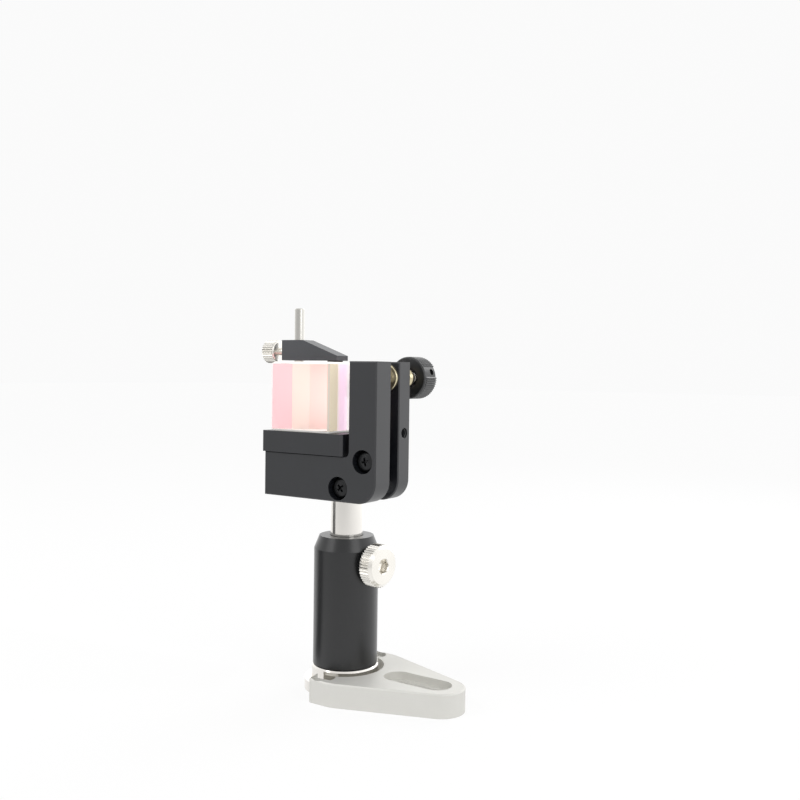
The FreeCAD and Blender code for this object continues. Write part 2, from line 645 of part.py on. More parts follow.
def preload_spring(place):
    """Compression spring under a preload screw's head, in short straight runs of many-sided wire."""
    start = place.y + PRELOAD_HEAD_HEIGHT + SPRING_WIRE_DIA / 2
    height = PRELOAD_FLOOR_Y - SPRING_PLAY - SPRING_WIRE_DIA / 2 - start
    radius, steps = SPRING_MEAN_DIA / 2, round(height / SPRING_PITCH * SPRING_STEPS)
    points = []
    for i in range(steps + 1):
        angle = 2 * math.pi * i / SPRING_STEPS
        points.append(V(radius * math.cos(angle), radius * math.sin(angle), height * i / steps))
    corners = ring_points(SPRING_WIRE_DIA / 2, SPRING_WIRE_SIDES)
    section = Part.makePolygon(corners + corners[:1])
    section.Placement = FreeCAD.Placement(points[0], FreeCAD.Rotation(Z_AXIS, points[1] - points[0]))
    coil = Part.makePolygon(points).makePipeShell([section], True, False, MITRED)
    coil.Placement = FreeCAD.Placement(V(place.x, start, place.z), FreeCAD.Rotation(Z_AXIS, Y_AXIS))
    return coil


def front_plate():
    """Moving plate: three seats behind, two preload bores in front, a flat arm for the platform."""
    plate = l_plate(FRONT_FACE_Y, FRONT_THICKNESS, FRONT_ARM_HEIGHT)
    cutters = []
    for place in PRELOAD_PLACES:
        cutters.append(bore_y(place, PRELOAD_BORE_DIA / 2, FRONT_FACE_Y - PROUD, PRELOAD_FLOOR_Y))
        cutters.append(bore_y(place, PRELOAD_HOLE_DIA / 2, FRONT_FACE_Y - PROUD, FRONT_BACK_Y + PROUD))
    for place in (PIVOT, TOP_SCREW, SIDE_SCREW):
        cutters.append(bore_y(place, SEAT_DIA / 2, FRONT_BACK_Y - SEAT_THICKNESS, FRONT_BACK_Y + PROUD))
    for x in PLATFORM_SCREW_X:
        bottom = platform_screw_seat(x) - Z_AXIS * PLATFORM_SCREW_LENGTH
        top = V(x, PLATFORM_SCREW_Y, PLATFORM_Z + PROUD)
        cutters.append(rod_between(bottom, top, PLATFORM_SCREW_DIA / 2))
    return plate.cut(cutters)


def platform_screw_seat(x):
    """Place under a platform screw's head."""
    return V(x, PLATFORM_SCREW_Y, PLATFORM_TOP - PLATFORM_SCREW_SUNK - PLATFORM_SCREW_HEAD_HEIGHT)


def platform():
    """Block that carries the prism, on the front plate's arm."""
    width = PLATFORM_RIGHT - LEFT
    block = Part.makeBox(width, PLATFORM_DEPTH, PLATFORM_THICKNESS, V(LEFT, PLATFORM_FRONT_Y, PLATFORM_Z))
    corner = V(PLATFORM_RIGHT, PLATFORM_FRONT_Y, PLATFORM_Z + PLATFORM_THICKNESS / 2)
    block = block.makeChamfer(PLATFORM_BEVEL, straight_edges(block, Z_AXIS, corner))
    rod_floor = V(ROD_X, ROD_Y, PLATFORM_TOP - ROD_IN_PLATFORM)
    rod_mouth = V(ROD_X, ROD_Y, PLATFORM_TOP + PROUD)
    cutters = [rod_between(rod_floor, rod_mouth, ROD_DIA / 2 + RUNNING)]
    head = PLATFORM_SCREW_HEAD_DIA / 2 + PLATFORM_SCREW_PLAY
    shank = PLATFORM_SCREW_DIA / 2 + PLATFORM_SCREW_PLAY
    for x in PLATFORM_SCREW_X:
        seat = platform_screw_seat(x)
        cutters.append(rod_between(seat, V(x, PLATFORM_SCREW_Y, PLATFORM_TOP + PROUD), head))
        cutters.append(rod_between(V(x, PLATFORM_SCREW_Y, PLATFORM_Z - PROUD), seat, shank))
    return block.cut(cutters)


def platform_screw(x):
    """Cap screw that fastens the platform to the front plate."""
    return socket_screw(
        platform_screw_seat(x), Z_AXIS, PLATFORM_SCREW_DIA, PLATFORM_SCREW_LENGTH,
        PLATFORM_SCREW_HEAD_DIA, PLATFORM_SCREW_HEAD_HEIGHT, PLATFORM_SCREW_KEY,
    )


def prism():
    """Right-angle prism, its long face to the rod and its square corner front right."""
    left, front = LEFT + PRISM_FROM_LEFT, PLATFORM_FRONT_Y + PRISM_FROM_FRONT
    right, back = left + PRISM_LEG, front + PRISM_LEG
    corners = [V(left, front, PLATFORM_TOP), V(right, front, PLATFORM_TOP), V(right, back, PLATFORM_TOP)]
    block = prism_of(corners, V(0, 0, PRISM_HEIGHT))
    return block.makeChamfer(PRISM_BEVEL, block.Edges)


def clamp_rod():
    """Polished rod that stands in the platform."""
    radius = ROD_DIA / 2
    bottom = PLATFORM_TOP - ROD_IN_PLATFORM
    outline = [
        (0, bottom), (radius, bottom), (radius, ROD_TOP - ROD_EDGE),
        (radius - ROD_EDGE, ROD_TOP), (0, ROD_TOP),
    ]
    return turned(outline, V(ROD_X, ROD_Y, 0), Z_AXIS)


def clamp_arm():
    """Clamping arm: a full head round the rod, and a sloped nose over the prism."""
    right = ARM_LEFT + ARM_LENGTH
    y = ROD_Y - ARM_WIDTH / 2
    outline = [
        V(ARM_LEFT, y, ARM_Z), V(right, y, ARM_Z), V(right, y, ARM_Z + ARM_TIP_HEIGHT),
        V(ARM_LEFT + ARM_FLAT_LENGTH, y, ARM_Z + ARM_HEIGHT), V(ARM_LEFT, y, ARM_Z + ARM_HEIGHT),
    ]
    arm = prism_of(outline, V(0, ARM_WIDTH, 0))
    below, above = V(ROD_X, ROD_Y, ARM_Z - PROUD), V(ROD_X, ROD_Y, ARM_Z + ARM_HEIGHT + PROUD)
    rod_hole = rod_between(below, above, ROD_DIA / 2 + RUNNING)
    outside, inside = V(ARM_LEFT - PROUD, ROD_Y, CLAMP_Z), V(ROD_X, ROD_Y, CLAMP_Z)
    screw_hole = rod_between(outside, inside, CLAMP_SHANK_DIA / 2 + RUNNING)
    return arm.cut([rod_hole, screw_hole])


def clamp_pad():
    """Soft pad between the arm's nose and the prism."""
    x = ROD_X + PAD_FROM_ROD
    return rod_between(V(x, ROD_Y, PRISM_TOP), V(x, ROD_Y, ARM_Z), PAD_DIA / 2)


def clamp_tip_end(length):
    """Point on the clamp screw's axis, a length behind the tip's face."""
    return V(ROD_X - ROD_DIA / 2 - CLAMP_TIP_PLAY - length, ROD_Y, CLAMP_Z)


def clamp_thumbscrew():
    """Small knurled screw that locks the arm on the rod."""
    outwards = X_AXIS * -1
    base = V(ARM_LEFT - CLAMP_STAND_OFF, ROD_Y, CLAMP_Z)
    head = knurled_head(
        base, outwards, CLAMP_HEAD_DIA / 2, CLAMP_HEAD_LENGTH,
        (CLAMP_HEAD_INNER_BEVEL, CLAMP_HEAD_BEVEL), CLAMP_TEETH, CLAMP_TOOTH_DEPTH,
    )
    shank = rod_between(base, clamp_tip_end(CLAMP_TIP_LENGTH), CLAMP_SHANK_DIA / 2)
    return head.fuse(shank).removeSplitter()


def clamp_tip():
    """Brass tip on the clamp screw, next to the rod."""
    return rod_between(clamp_tip_end(CLAMP_TIP_LENGTH), clamp_tip_end(0), CLAMP_TIP_DIA / 2)


def build_nodes():
    """Every piece of the mount by name."""
    return {
        "base_fork": base_fork(),
        "holder_foot": holder_foot(),
        "foot_screw": foot_screw(),
        "post_holder": post_holder(),
        "holder_thumbscrew": holder_thumbscrew(),
        "thumbscrew_tip": thumbscrew_tip(),
        "post": post(),
        "post_stud": post_stud(),
        "rear_plate": rear_plate(),
        "top_bushing": bushing(TOP_SCREW),
        "side_bushing": bushing(SIDE_SCREW),
        "top_adjuster_screw": adjuster_screw(TOP_SCREW),
        "side_adjuster_screw": adjuster_screw(SIDE_SCREW),
        "top_knob": knob(TOP_SCREW),
        "side_knob": knob(SIDE_SCREW),
        "top_knob_grub_screw": knob_grub_screw(TOP_SCREW),
        "side_knob_grub_screw": knob_grub_screw(SIDE_SCREW),
        "pivot_stud": pivot_stud(),
        "pivot_ball": pivot_ball(),
        "cone_seat": cone_seat(),
        "vee_seat": vee_seat(),
        "flat_seat": flat_seat(),
        "preload_screws": Part.makeCompound([preload_screw(place) for place in PRELOAD_PLACES]),
        "preload_springs": Part.makeCompound([preload_spring(place) for place in PRELOAD_PLACES]),
        "front_plate": front_plate(),
        "platform": platform(),
        "platform_screws": Part.makeCompound([platform_screw(x) for x in PLATFORM_SCREW_X]),
        "prism": prism(),
        "clamp_rod": clamp_rod(),
        "clamp_arm": clamp_arm(),
        "clamp_pad": clamp_pad(),
        "clamp_thumbscrew": clamp_thumbscrew(),
        "clamp_tip": clamp_tip(),
    }


def main():
    """Builds the pieces and writes one file for each."""
    os.makedirs("parts", exist_ok=True)
    for name, shape in build_nodes().items():
        shape.exportStep(f"parts/{name}.step")
        volume = sum(solid.Volume for solid in shape.Solids)
        print(f"{name:22s} solids {len(shape.Solids)}  volume {volume:9.1f}  valid {shape.isValid()}")


main()
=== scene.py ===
"""Two-axis kinematic prism mount on a post: the looks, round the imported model."""

import logging
import math
from dataclasses import dataclass, field
from enum import Enum
from typing import Callable, Sequence

import bmesh
import bpy
from bpy.types import Material, Mesh, Node, NodeSocket, NodeTree, Object, bpy_prop_collection
from mathutils import Matrix, Vector


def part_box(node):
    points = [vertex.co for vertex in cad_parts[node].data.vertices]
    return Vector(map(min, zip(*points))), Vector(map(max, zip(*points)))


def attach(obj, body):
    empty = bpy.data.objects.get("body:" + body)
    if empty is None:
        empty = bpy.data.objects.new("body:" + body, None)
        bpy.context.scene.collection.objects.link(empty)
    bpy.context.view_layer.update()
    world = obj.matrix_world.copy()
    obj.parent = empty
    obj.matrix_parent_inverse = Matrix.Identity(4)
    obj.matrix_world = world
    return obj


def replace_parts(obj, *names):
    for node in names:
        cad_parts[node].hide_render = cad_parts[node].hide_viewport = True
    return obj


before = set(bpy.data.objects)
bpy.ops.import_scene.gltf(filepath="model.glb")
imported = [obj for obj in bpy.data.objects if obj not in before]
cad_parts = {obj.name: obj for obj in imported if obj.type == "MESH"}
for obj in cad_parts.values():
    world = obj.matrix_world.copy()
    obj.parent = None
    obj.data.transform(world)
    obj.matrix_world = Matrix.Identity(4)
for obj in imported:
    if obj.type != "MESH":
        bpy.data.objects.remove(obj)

LOG = logging.getLogger("prism_mount")

MM = 0.001
X_AXIS, Y_AXIS, Z_AXIS = Vector((1, 0, 0)), Vector((0, 1, 0)), Vector((0, 0, 1))
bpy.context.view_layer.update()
PRELOAD_HEAD_MM = 3.7
SHARP = math.radians(28)  # least turn between two turned faces that stays an edge


def linear(hex_colour: str) -> tuple[float, float, float, float]:
    """Turns an sRGB hex colour into the linear colour that a shader takes.

    Args:
        hex_colour: Colour such as "#8F8260".

    Returns:
        Linear red, green and blue, and an alpha of 1.
    """
    parts = [int(hex_colour[i:i + 2], 16) / 255 for i in (1, 3, 5)]
    toe, slope, offset, gamma = 0.04045, 12.92, 0.055, 2.4
    red, green, blue = [
        part / slope if part <= toe else ((part + offset) / (1 + offset)) ** gamma
        for part in parts
    ]
    return red, green, blue, 1.0


def add_node(tree: NodeTree, kind: str, inputs: dict | None = None, **settings) -> Node:
    """Adds a node to a tree, with its settings, values and links.

    Args:
        tree: Shader or geometry tree.
        kind: Blender's name for the node's type.
        inputs: Value or output socket for each input, by name or number.
        settings: The node's own properties.

    Returns:
        The new node.
    """
    node = tree.nodes.new(kind)
    for key, value in settings.items():
        setattr(node, key, value)
    for key, value in (inputs or {}).items():
        if isinstance(value, NodeSocket):
            tree.links.new(value, node.inputs[key])
        else:
            node.inputs[key].default_value = value
    return node


def blank_material(name: str) -> tuple[Material, NodeTree]:
    """Makes a material whose tree is empty.

    Args:
        name: The material's name.

    Returns:
        The material and its tree.
    """
    material = bpy.data.materials.new(name)
    material.use_nodes = True
    material.node_tree.nodes.clear()
    return material, material.node_tree


def write_mesh(builder: bmesh.types.BMesh, mesh: Mesh, crease: float | None = None) -> Mesh:
    """Writes a builder to a mesh with its faces outwards, and frees the builder.

    Args:
        builder: The faces.
        mesh: The mesh that takes them.
        crease: Turn past which an edge of the smooth faces is sharp, or None for flat faces.

    Returns:
        The mesh.
    """
    bmesh.ops.recalc_face_normals(builder, faces=builder.faces)
    builder.to_mesh(mesh)
    builder.free()
    if crease is not None:
        mesh.shade_smooth()
        mesh.set_sharp_from_angle(angle=crease)
    return mesh


def skin(builder: bmesh.types.BMesh, loops: Sequence[list[bmesh.types.BMVert]]) -> None:
    """Joins a stack of equal loops with walls, and closes both its ends.

    Args:
        builder: The builder that holds the loops.
        loops: The loops in turn.
    """
    for low, high in zip(loops, loops[1:]):
        for i in range(len(low)):
            j = (i + 1) % len(low)
            builder.faces.new((low[i], low[j], high[j], high[i]))
    builder.faces.new(list(reversed(loops[0])))
    builder.faces.new(loops[-1])


class Grain(Enum):
    """How a surface was made, which sets its fine pattern."""

    BLASTED = "blasted"
    TURNED = "turned"
    MILLED = "milled"
    MOULDED = "moulded"


@dataclass(frozen=True)
class Finish:
    """One surface finish and the shader that shows it."""

    name: str
    colour: str
    tint: str
    roughness: float
    grain_mm: float
    relief_mm: float
    grain: Grain = Grain.BLASTED
    metallic: float = 0.0
    axis: Vector = field(default_factory=lambda: Vector((0, 0, 1)))
    ior: float = 1.5
    edge_mm: float = 0.12
    roughness_spread: float = 0.06
    # Share by which edges go paler: partly wear, partly a painted highlight.
    edge_wear_and_highlight: float = 0.0
    edge_wear_and_highlight_colour: str = "#8E8F92"
    # Strength of a painted glow in the tint colour: light that the surface gives out though it is no lamp.
    painted_glow: float = 0.0
    anisotropy: float = 0.0
    turned_about: str = "Z"

    def build(self) -> Material:
        """Makes the material, or returns it if it is there.

        Returns:
            The finished material.
        """
        if self.name in bpy.data.materials:
            return bpy.data.materials[self.name]
        material, tree = blank_material(self.name)
        place = add_node(tree, "ShaderNodeTexCoord").outputs["Object"]
        fine = self.pattern(tree, place)
        cloudy_mm = 9.0
        cloud = add_node(tree, "ShaderNodeTexNoise", {
            "Vector": place, "Scale": 1 / (cloudy_mm * MM), "Detail": 3.0, "Roughness": 0.55,
        }).outputs["Fac"]
        colour = add_node(tree, "ShaderNodeMix", {
            "Factor": cloud, 6: linear(self.colour), 7: linear(self.tint),
        }, data_type="RGBA").outputs[2]
        rough = add_node(tree, "ShaderNodeMapRange", {
            "Value": fine,
            "To Min": self.roughness - self.roughness_spread,
            "To Max": self.roughness + self.roughness_spread,
        }).outputs["Result"]
        rounded = add_node(tree, "ShaderNodeBevel", {
            "Radius": self.edge_mm * MM}, samples=4).outputs["Normal"]
        flat = add_node(tree, "ShaderNodeNewGeometry").outputs["Normal"]
        agreement = add_node(tree, "ShaderNodeVectorMath", {0: rounded, 1: flat}, operation="DOT_PRODUCT")
        # Edges go paler where the bevel normal bends from the face's: partly wear, partly a painted highlight
        # for light caught on the edges.
        edge_mark_starts, edge_mark_full = 0.995, 0.85
        edge_mark = add_node(tree, "ShaderNodeMapRange", {
            "Value": agreement.outputs["Value"], "From Min": edge_mark_starts, "From Max": edge_mark_full,
            "To Max": self.edge_wear_and_highlight,
        }).outputs["Result"]
        colour = add_node(tree, "ShaderNodeMix", {
            "Factor": edge_mark, 6: colour, 7: linear(self.edge_wear_and_highlight_colour),
        }, data_type="RGBA").outputs[2]
        relief = add_node(tree, "ShaderNodeBump", {
            "Height": fine, "Distance": self.relief_mm * MM, "Strength": 1.0, "Normal": rounded,
        }).outputs["Normal"]
        # The emission is a painted glow in the tint colour.
        values = {
            "Base Color": colour, "Roughness": rough, "Normal": relief, "Metallic": self.metallic,
            "IOR": self.ior, "Emission Color": linear(self.tint), "Emission Strength": self.painted_glow,
        }
        if self.anisotropy:
            round_axis = add_node(tree, "ShaderNodeTangent", direction_type="RADIAL", axis=self.turned_about)
            quarter_turn = 0.25
            values.update({
                "Anisotropic": self.anisotropy, "Anisotropic Rotation": quarter_turn,
                "Tangent": round_axis.outputs["Tangent"],
            })
        shader = add_node(tree, "ShaderNodeBsdfPrincipled", values).outputs["BSDF"]
        add_node(tree, "ShaderNodeOutputMaterial", {"Surface": shader})
        return material

    def pattern(self, tree: NodeTree, place: NodeSocket) -> NodeSocket:
        """Adds the fine pattern that the making leaves on the surface.

        Args:
            tree: The material's tree.
            place: Object coordinates.

        Returns:
            A height from 0 to 1.
        """
        per_metre = 1 / (self.grain_mm * MM)
        if self.grain in (Grain.BLASTED, Grain.MOULDED):
            return add_node(tree, "ShaderNodeTexNoise", {
                "Vector": place, "Scale": per_metre, "Detail": 2.0, "Roughness": 0.6,
            }).outputs["Fac"]
        along = 0.04 if self.grain is Grain.MILLED else 0.02
        stretch = tuple(per_metre * max(abs(part), along) for part in self.axis)
        drawn = add_node(tree, "ShaderNodeMapping", {"Vector": place, "Scale": stretch}).outputs["Vector"]
        return add_node(tree, "ShaderNodeTexNoise", {
            "Vector": drawn, "Scale": 1.0, "Detail": 3.0, "Roughness": 0.6,
        }).outputs["Fac"]


# Black anodised aluminium, fine bead blast: a dyed oxide film with a satin sheen, paler on its edges from
# wear and a painted highlight.
BLACK_ANODISE = Finish(
    name="black anodised aluminium", colour="#14161A", tint="#1A1C22", roughness=0.38,
    grain_mm=0.25, relief_mm=0.006, ior=1.64, edge_wear_and_highlight=0.3,
)
# The same film over turned work: faint rings round the holder, and edges paler from wear and a painted
# highlight.
BLACK_TURNED = Finish(
    name="black anodised turned aluminium", colour="#131416", tint="#18191B", roughness=0.30,
    grain=Grain.TURNED, grain_mm=0.3, relief_mm=0.004, ior=1.56, edge_wear_and_highlight=0.2,
)
# The same film over a knurl: crests and rims paler, partly rubbed nearly bare by handling and partly a
# painted highlight.
BLACK_KNURLED = Finish(
    name="black anodised knurl", colour="#131517", tint="#1A1C1E", roughness=0.36,
    grain_mm=0.2, relief_mm=0.005, ior=1.6, edge_wear_and_highlight=0.4, edge_wear_and_highlight_colour="#A2A3A6",
)
# The same film over a coarser blast: greyer, because it scatters more light, with edges paler from wear and a
# painted highlight.
BLACK_COARSE = Finish(
    name="black anodised coarse blast", colour="#3F4145", tint="#46484C", roughness=0.42,
    grain_mm=0.3, relief_mm=0.008, ior=1.6, edge_wear_and_highlight=0.3,
)
# Clear anodised aluminium, milled: pale satin silver that scatters more than it mirrors.
MILLED_ALUMINIUM = Finish(
    name="milled clear anodised aluminium", colour="#D9D8D3", tint="#E0DFDA", metallic=0.4, roughness=0.55,
    grain=Grain.MILLED, grain_mm=0.25, relief_mm=0.004, axis=Vector((0, 1, 1)), roughness_spread=0.05,
)
# Ground and polished stainless steel: mirror-like, with faint rings round the bar.
POLISHED_STEEL = Finish(
    name="polished stainless steel", colour="#DEDBD6", tint="#E6E3DE", metallic=1.0, roughness=0.12,
    grain=Grain.TURNED, grain_mm=0.2, relief_mm=0.0015,
)
# Ground stainless steel rod: the same metal left finely ground, so it is softer and a little darker.
GROUND_STEEL = Finish(
    name="fine ground stainless steel", colour="#C8C6C1", tint="#CFCDC8", metallic=1.0, roughness=0.22,
    grain=Grain.TURNED, grain_mm=0.2, relief_mm=0.0015,
)
# Hardened bearing steel: darker and closer grained.
BEARING_STEEL = Finish(
    name="hardened bearing steel", colour="#9A9B9E", tint="#A5A6A9", metallic=1.0, roughness=0.2,
    grain_mm=0.15, relief_mm=0.001,
)
# Black oxide on steel: deep blue-black with an oily sheen, and edges paler from wear and a painted highlight.
BLACK_OXIDE = Finish(
    name="black oxide steel", colour="#17181A", tint="#1F2022", metallic=0.35, roughness=0.34,
    grain_mm=0.2, relief_mm=0.004, edge_wear_and_highlight=0.3,
)
# Bright nickel over turned brass: warm silver, with highlights that fan out from the axis.
NICKEL = Finish(
    name="bright nickel plate", colour="#EAE7E0", tint="#F0EDE7", metallic=1.0, roughness=0.22,
    grain=Grain.TURNED, grain_mm=0.25, relief_mm=0.002, axis=Vector((1, 0, 0)),
    anisotropy=0.7, turned_about="X",
)
# Turned brass: pale yellow metal with fine tool rings, whose highlights run along its axis.
BRASS = Finish(
    name="turned brass", colour="#CFC3A0", tint="#DAD0B2", metallic=1.0, roughness=0.3,
    grain=Grain.TURNED, grain_mm=0.2, relief_mm=0.003, axis=Vector((0, 1, 0)),
    anisotropy=0.7, turned_about="Y",
)
# Drawn spring wire: plain grey steel.
SPRING_WIRE = Finish(
    name="drawn spring wire", colour="#A9AAAC", tint="#B4B5B7", metallic=1.0, roughness=0.28,
    grain_mm=0.15, relief_mm=0.001,
)
# Moulded nitrile rubber: soft black with no shine.
RUBBER = Finish(
    name="moulded black rubber", colour="#1B1B1B", tint="#222222", roughness=0.75,
    grain=Grain.MOULDED, grain_mm=0.4, relief_mm=0.01,
)
# Moulded nylon: milky white.
NYLON = Finish(
    name="moulded white nylon", colour="#DEDDD6", tint="#E6E5DF", roughness=0.45,
    grain=Grain.MOULDED, grain_mm=0.4, relief_mm=0.004, ior=1.53,
)
# Lapped bevel of optical glass round its ends: fine-ground and white, with a painted glow in place of the
# prism's light that it scatters.
GROUND_GLASS = Finish(
    name="ground glass bevel with painted glow", colour="#F4F2EC", tint="#FAF8F3", roughness=0.55,
    grain_mm=0.12, relief_mm=0.004, ior=1.52, painted_glow=0.35,
)
# Lapped bevel on an upright edge: its tint is a painted reflection of the coatings next to it, seen through
# its haze, with a faint painted glow.
GROUND_EDGE = Finish(
    name="ground glass upright edge", colour="#E2D6C6", tint="#EDE3D6", roughness=0.5,
    grain_mm=0.12, relief_mm=0.004, ior=1.52, painted_glow=0.06,
)


@dataclass(frozen=True)
class CrownGlass:
    """Polished crown glass: clear and colourless."""

    name: str = "polished crown glass"
    colour: str = "#FEFDFD"
    ior: float = 1.517
    roughness: float = 0.0

    def build(self) -> Material:
        """Makes the glass.

        Returns:
            The finished material.
        """
        material, tree = blank_material(self.name)
        shader = add_node(tree, "ShaderNodeBsdfPrincipled", {
            "Base Color": linear(self.colour), "Roughness": self.roughness,
            "IOR": self.ior, "Transmission Weight": 1.0,
        }).outputs["BSDF"]
        add_node(tree, "ShaderNodeOutputMaterial", {"Surface": shader})
        return material


@dataclass(frozen=True)
class PaintedReflectionBands:
    """Coating on a face with painted reflection bands: its colour steps across it in bands of painted
    reflection.
    """

    name: str
    axis: str
    # The real prism folds the backdrop's light out through the face: that share is painted on as a glow of
    # its own.
    painted_glow: float
    # Share of the prism's leg at which each band starts, and its painted reflection colour.
    bands: tuple[tuple[float, str], ...]
    roughness: float = 0.25
    ior: float = 1.5

    def build(self, start: float, leg: float) -> Material:
        """Makes the coating's painted reflection bands and painted glow for a face that begins at start.

        Args:
            start: Where the face begins on the bands' axis, in metres.
            leg: The prism's leg, in metres.

        Returns:
            The finished material.
        """
        material, tree = blank_material(self.name)
        place = add_node(tree, "ShaderNodeTexCoord").outputs["Object"]
        across = add_node(tree, "ShaderNodeSeparateXYZ", {0: place}).outputs[self.axis]
        share = add_node(tree, "ShaderNodeMapRange", {
            "Value": across, "From Min": start, "From Max": start + leg,
        }).outputs["Result"]
        ramp = add_node(tree, "ShaderNodeValToRGB", {"Fac": share})
        ramp.color_ramp.interpolation = "CONSTANT"
        stops = ramp.color_ramp.elements
        for position, _ in self.bands[2:]:
            stops.new(position)
        for stop, (position, colour) in zip(stops, self.bands):
            stop.position = position
            stop.color = linear(colour)
        # The band colour is painted reflection, and the same colour is given out as a painted glow.
        shader = add_node(tree, "ShaderNodeBsdfPrincipled", {
            "Base Color": ramp.outputs["Color"], "Roughness": self.roughness, "IOR": self.ior,
            "Emission Color": ramp.outputs["Color"], "Emission Strength": self.painted_glow,
        }).outputs["BSDF"]
        add_node(tree, "ShaderNodeOutputMaterial", {"Surface": shader})
        return material


# Painted reflection bands for the prism's long face and its square side, each also with a painted glow.
LONG_FACE = PaintedReflectionBands(
    name="coating with painted reflection bands", axis="X", painted_glow=0.45,
    bands=((0.0, "#F9CFD4"), (0.252, "#FBE6DC"), (0.462, "#F8DAD2")),
)
SQUARE_SIDE = PaintedReflectionBands(
    name="edge coating with painted reflection bands", axis="Y", painted_glow=0.55,
    bands=((0.0, "#E2D8C4"), (0.20, "#FBEDEA"), (0.232, "#FFE6F6"), (0.41, "#F6F1F0")),
)


def finished_object(name: str, mesh: Mesh, body: str) -> Object:
    """Links a finished mesh as a piece that rides on a body.

    Args:
        name: The piece's name.
        mesh: Its mesh, in place in the row frame.
        body: The body that carries it.

    Returns:
        The new piece.
    """
    piece = bpy.data.objects.new(name, mesh)
    bpy.context.scene.collection.objects.link(piece)
    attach(piece, body)
    LOG.info("%s: %d faces on %s", name, len(mesh.polygons), body)
    return piece


@dataclass(frozen=True)
class Ring:
    """One station of a turned piece: its height, its radius and the flats of its rim."""

    height: float
    radius: float
    flats: int = 0

    def reach(self, angle: float) -> float:
        """Radius at an angle.

        Args:
            angle: Angle round the axis, in radians.

        Returns:
            The radius there, in the ring's unit.
        """
        if not self.flats:
            return self.radius
        sector = 2 * math.pi / self.flats
        off = (angle + sector / 2) % sector - sector / 2
        return self.radius / math.cos(off)


def rounding(height: float, radius: float, size: float, steps: int) -> list[Ring]:
    """Rings of a quarter round, which widens as it rises.

    Args:
        height: Where it starts.
        radius: The radius there.
        size: The rounding's own radius.
        steps: How many rings follow the first.

    Returns:
        The rings, in the unit of the sizes.
    """
    angles = [math.pi / 2 * i / steps for i in range(steps + 1)]
    return [Ring(height + size * (1 - math.cos(a)), radius + size * math.sin(a)) for a in angles]


def turned_mesh(name: str, rings: Sequence[Ring], sides: int, base: Vector, axis: Vector,
                material: Material, bored: bool = False) -> Mesh:
    """Makes a closed turned mesh from rings, in millimetres along axis from base.

    Args:
        name: The mesh's name.
        rings: Stations from one pole to the other, or round the wall of a bored piece, in millimetres.
        sides: Faces round the axis.
        base: Foot of the axis, in metres.
        axis: Direction of the heights.
        material: Its material.
        bored: Whether a bore goes right through, so that the last ring meets the first.

    Returns:
        The mesh, in place.
    """
    builder = bmesh.new()
    angles = [2 * math.pi * i / sides for i in range(sides)]
    skin(builder, [
        [builder.verts.new((ring.reach(a) * math.cos(a), ring.reach(a) * math.sin(a), ring.height))
         for a in angles]
        for ring in rings
    ])
    turn = Z_AXIS.rotation_difference(axis).to_matrix().to_4x4()
    builder.transform(Matrix.Translation(base) @ turn @ Matrix.Scale(MM, 4))
    if bored:
        caps = [item for item in builder.faces if len(item.verts) > 4]
        bmesh.ops.delete(builder, geom=caps, context="FACES_ONLY")
        bmesh.ops.remove_doubles(builder, verts=builder.verts, dist=MM / 1000)
    mesh = write_mesh(builder, bpy.data.meshes.new(name), SHARP)
    mesh.materials.append(material)
    return mesh


class GrownMesh:
    """Base of the Geometry Nodes trees: named inputs in, a plain mesh in place out."""

    NAME = ""
    INPUTS: tuple[tuple[str, str], ...] = ()
    CREASE = math.radians(30)

    def __init__(self) -> None:
        """Builds the tree once, with its inputs, and lets the subclass fill it."""
        self.tree = bpy.data.node_groups.new(self.NAME, "GeometryNodeTree")
        for name, kind in (*self.INPUTS, ("Finish", "NodeSocketMaterial")):
            self.tree.interface.new_socket(name, in_out="INPUT", socket_type=kind)
        self.tree.interface.new_socket("Geometry", in_out="OUTPUT", socket_type="NodeSocketGeometry")
        given = add_node(self.tree, "NodeGroupInput").outputs
        whole = add_node(self.tree, "GeometryNodeRealizeInstances", {0: self.grow(given)}).outputs[0]
        dressed = add_node(self.tree, "GeometryNodeSetMaterial", {
            "Geometry": whole, "Material": given["Finish"],
        }).outputs["Geometry"]
        add_node(self.tree, "NodeGroupOutput", {"Geometry": dressed})

    def grow(self, given: bpy_prop_collection) -> NodeSocket:
        """Adds the nodes that make the form.

        Args:
            given: The tree's inputs.

        Returns:
            The form's geometry socket.
        """
        raise NotImplementedError

    def mesh(self, name: str, sizes: dict[str, float | int], finish: Material,
             base: Vector, axis: Vector) -> Mesh:
        """Runs the tree and places its result.

        Args:
            name: The mesh's name.
            sizes: Value for each named size, in metres or whole numbers.
            finish: Its material.
            base: Foot of the form.
            axis: Direction of its length.

        Returns:
            A plain mesh, in place.
        """
        holder = bpy.data.objects.new(name, bpy.data.meshes.new(name))
        bpy.context.scene.collection.objects.link(holder)
        modifier = holder.modifiers.new(self.NAME, "NODES")
        modifier.node_group = self.tree
        given = dict(sizes, Finish=finish)
        for item in self.tree.interface.items_tree:
            if item.in_out == "INPUT":
                modifier[item.identifier] = given[item.name]
        graph = bpy.context.evaluated_depsgraph_get()
        mesh = bpy.data.meshes.new_from_object(holder.evaluated_get(graph), depsgraph=graph)
        bpy.data.objects.remove(holder)
        turn = Z_AXIS.rotation_difference(axis).to_matrix().to_4x4()
        mesh.transform(Matrix.Translation(base) @ turn)
        builder = bmesh.new()
        builder.from_mesh(mesh)
        return write_mesh(builder, mesh, self.CREASE)


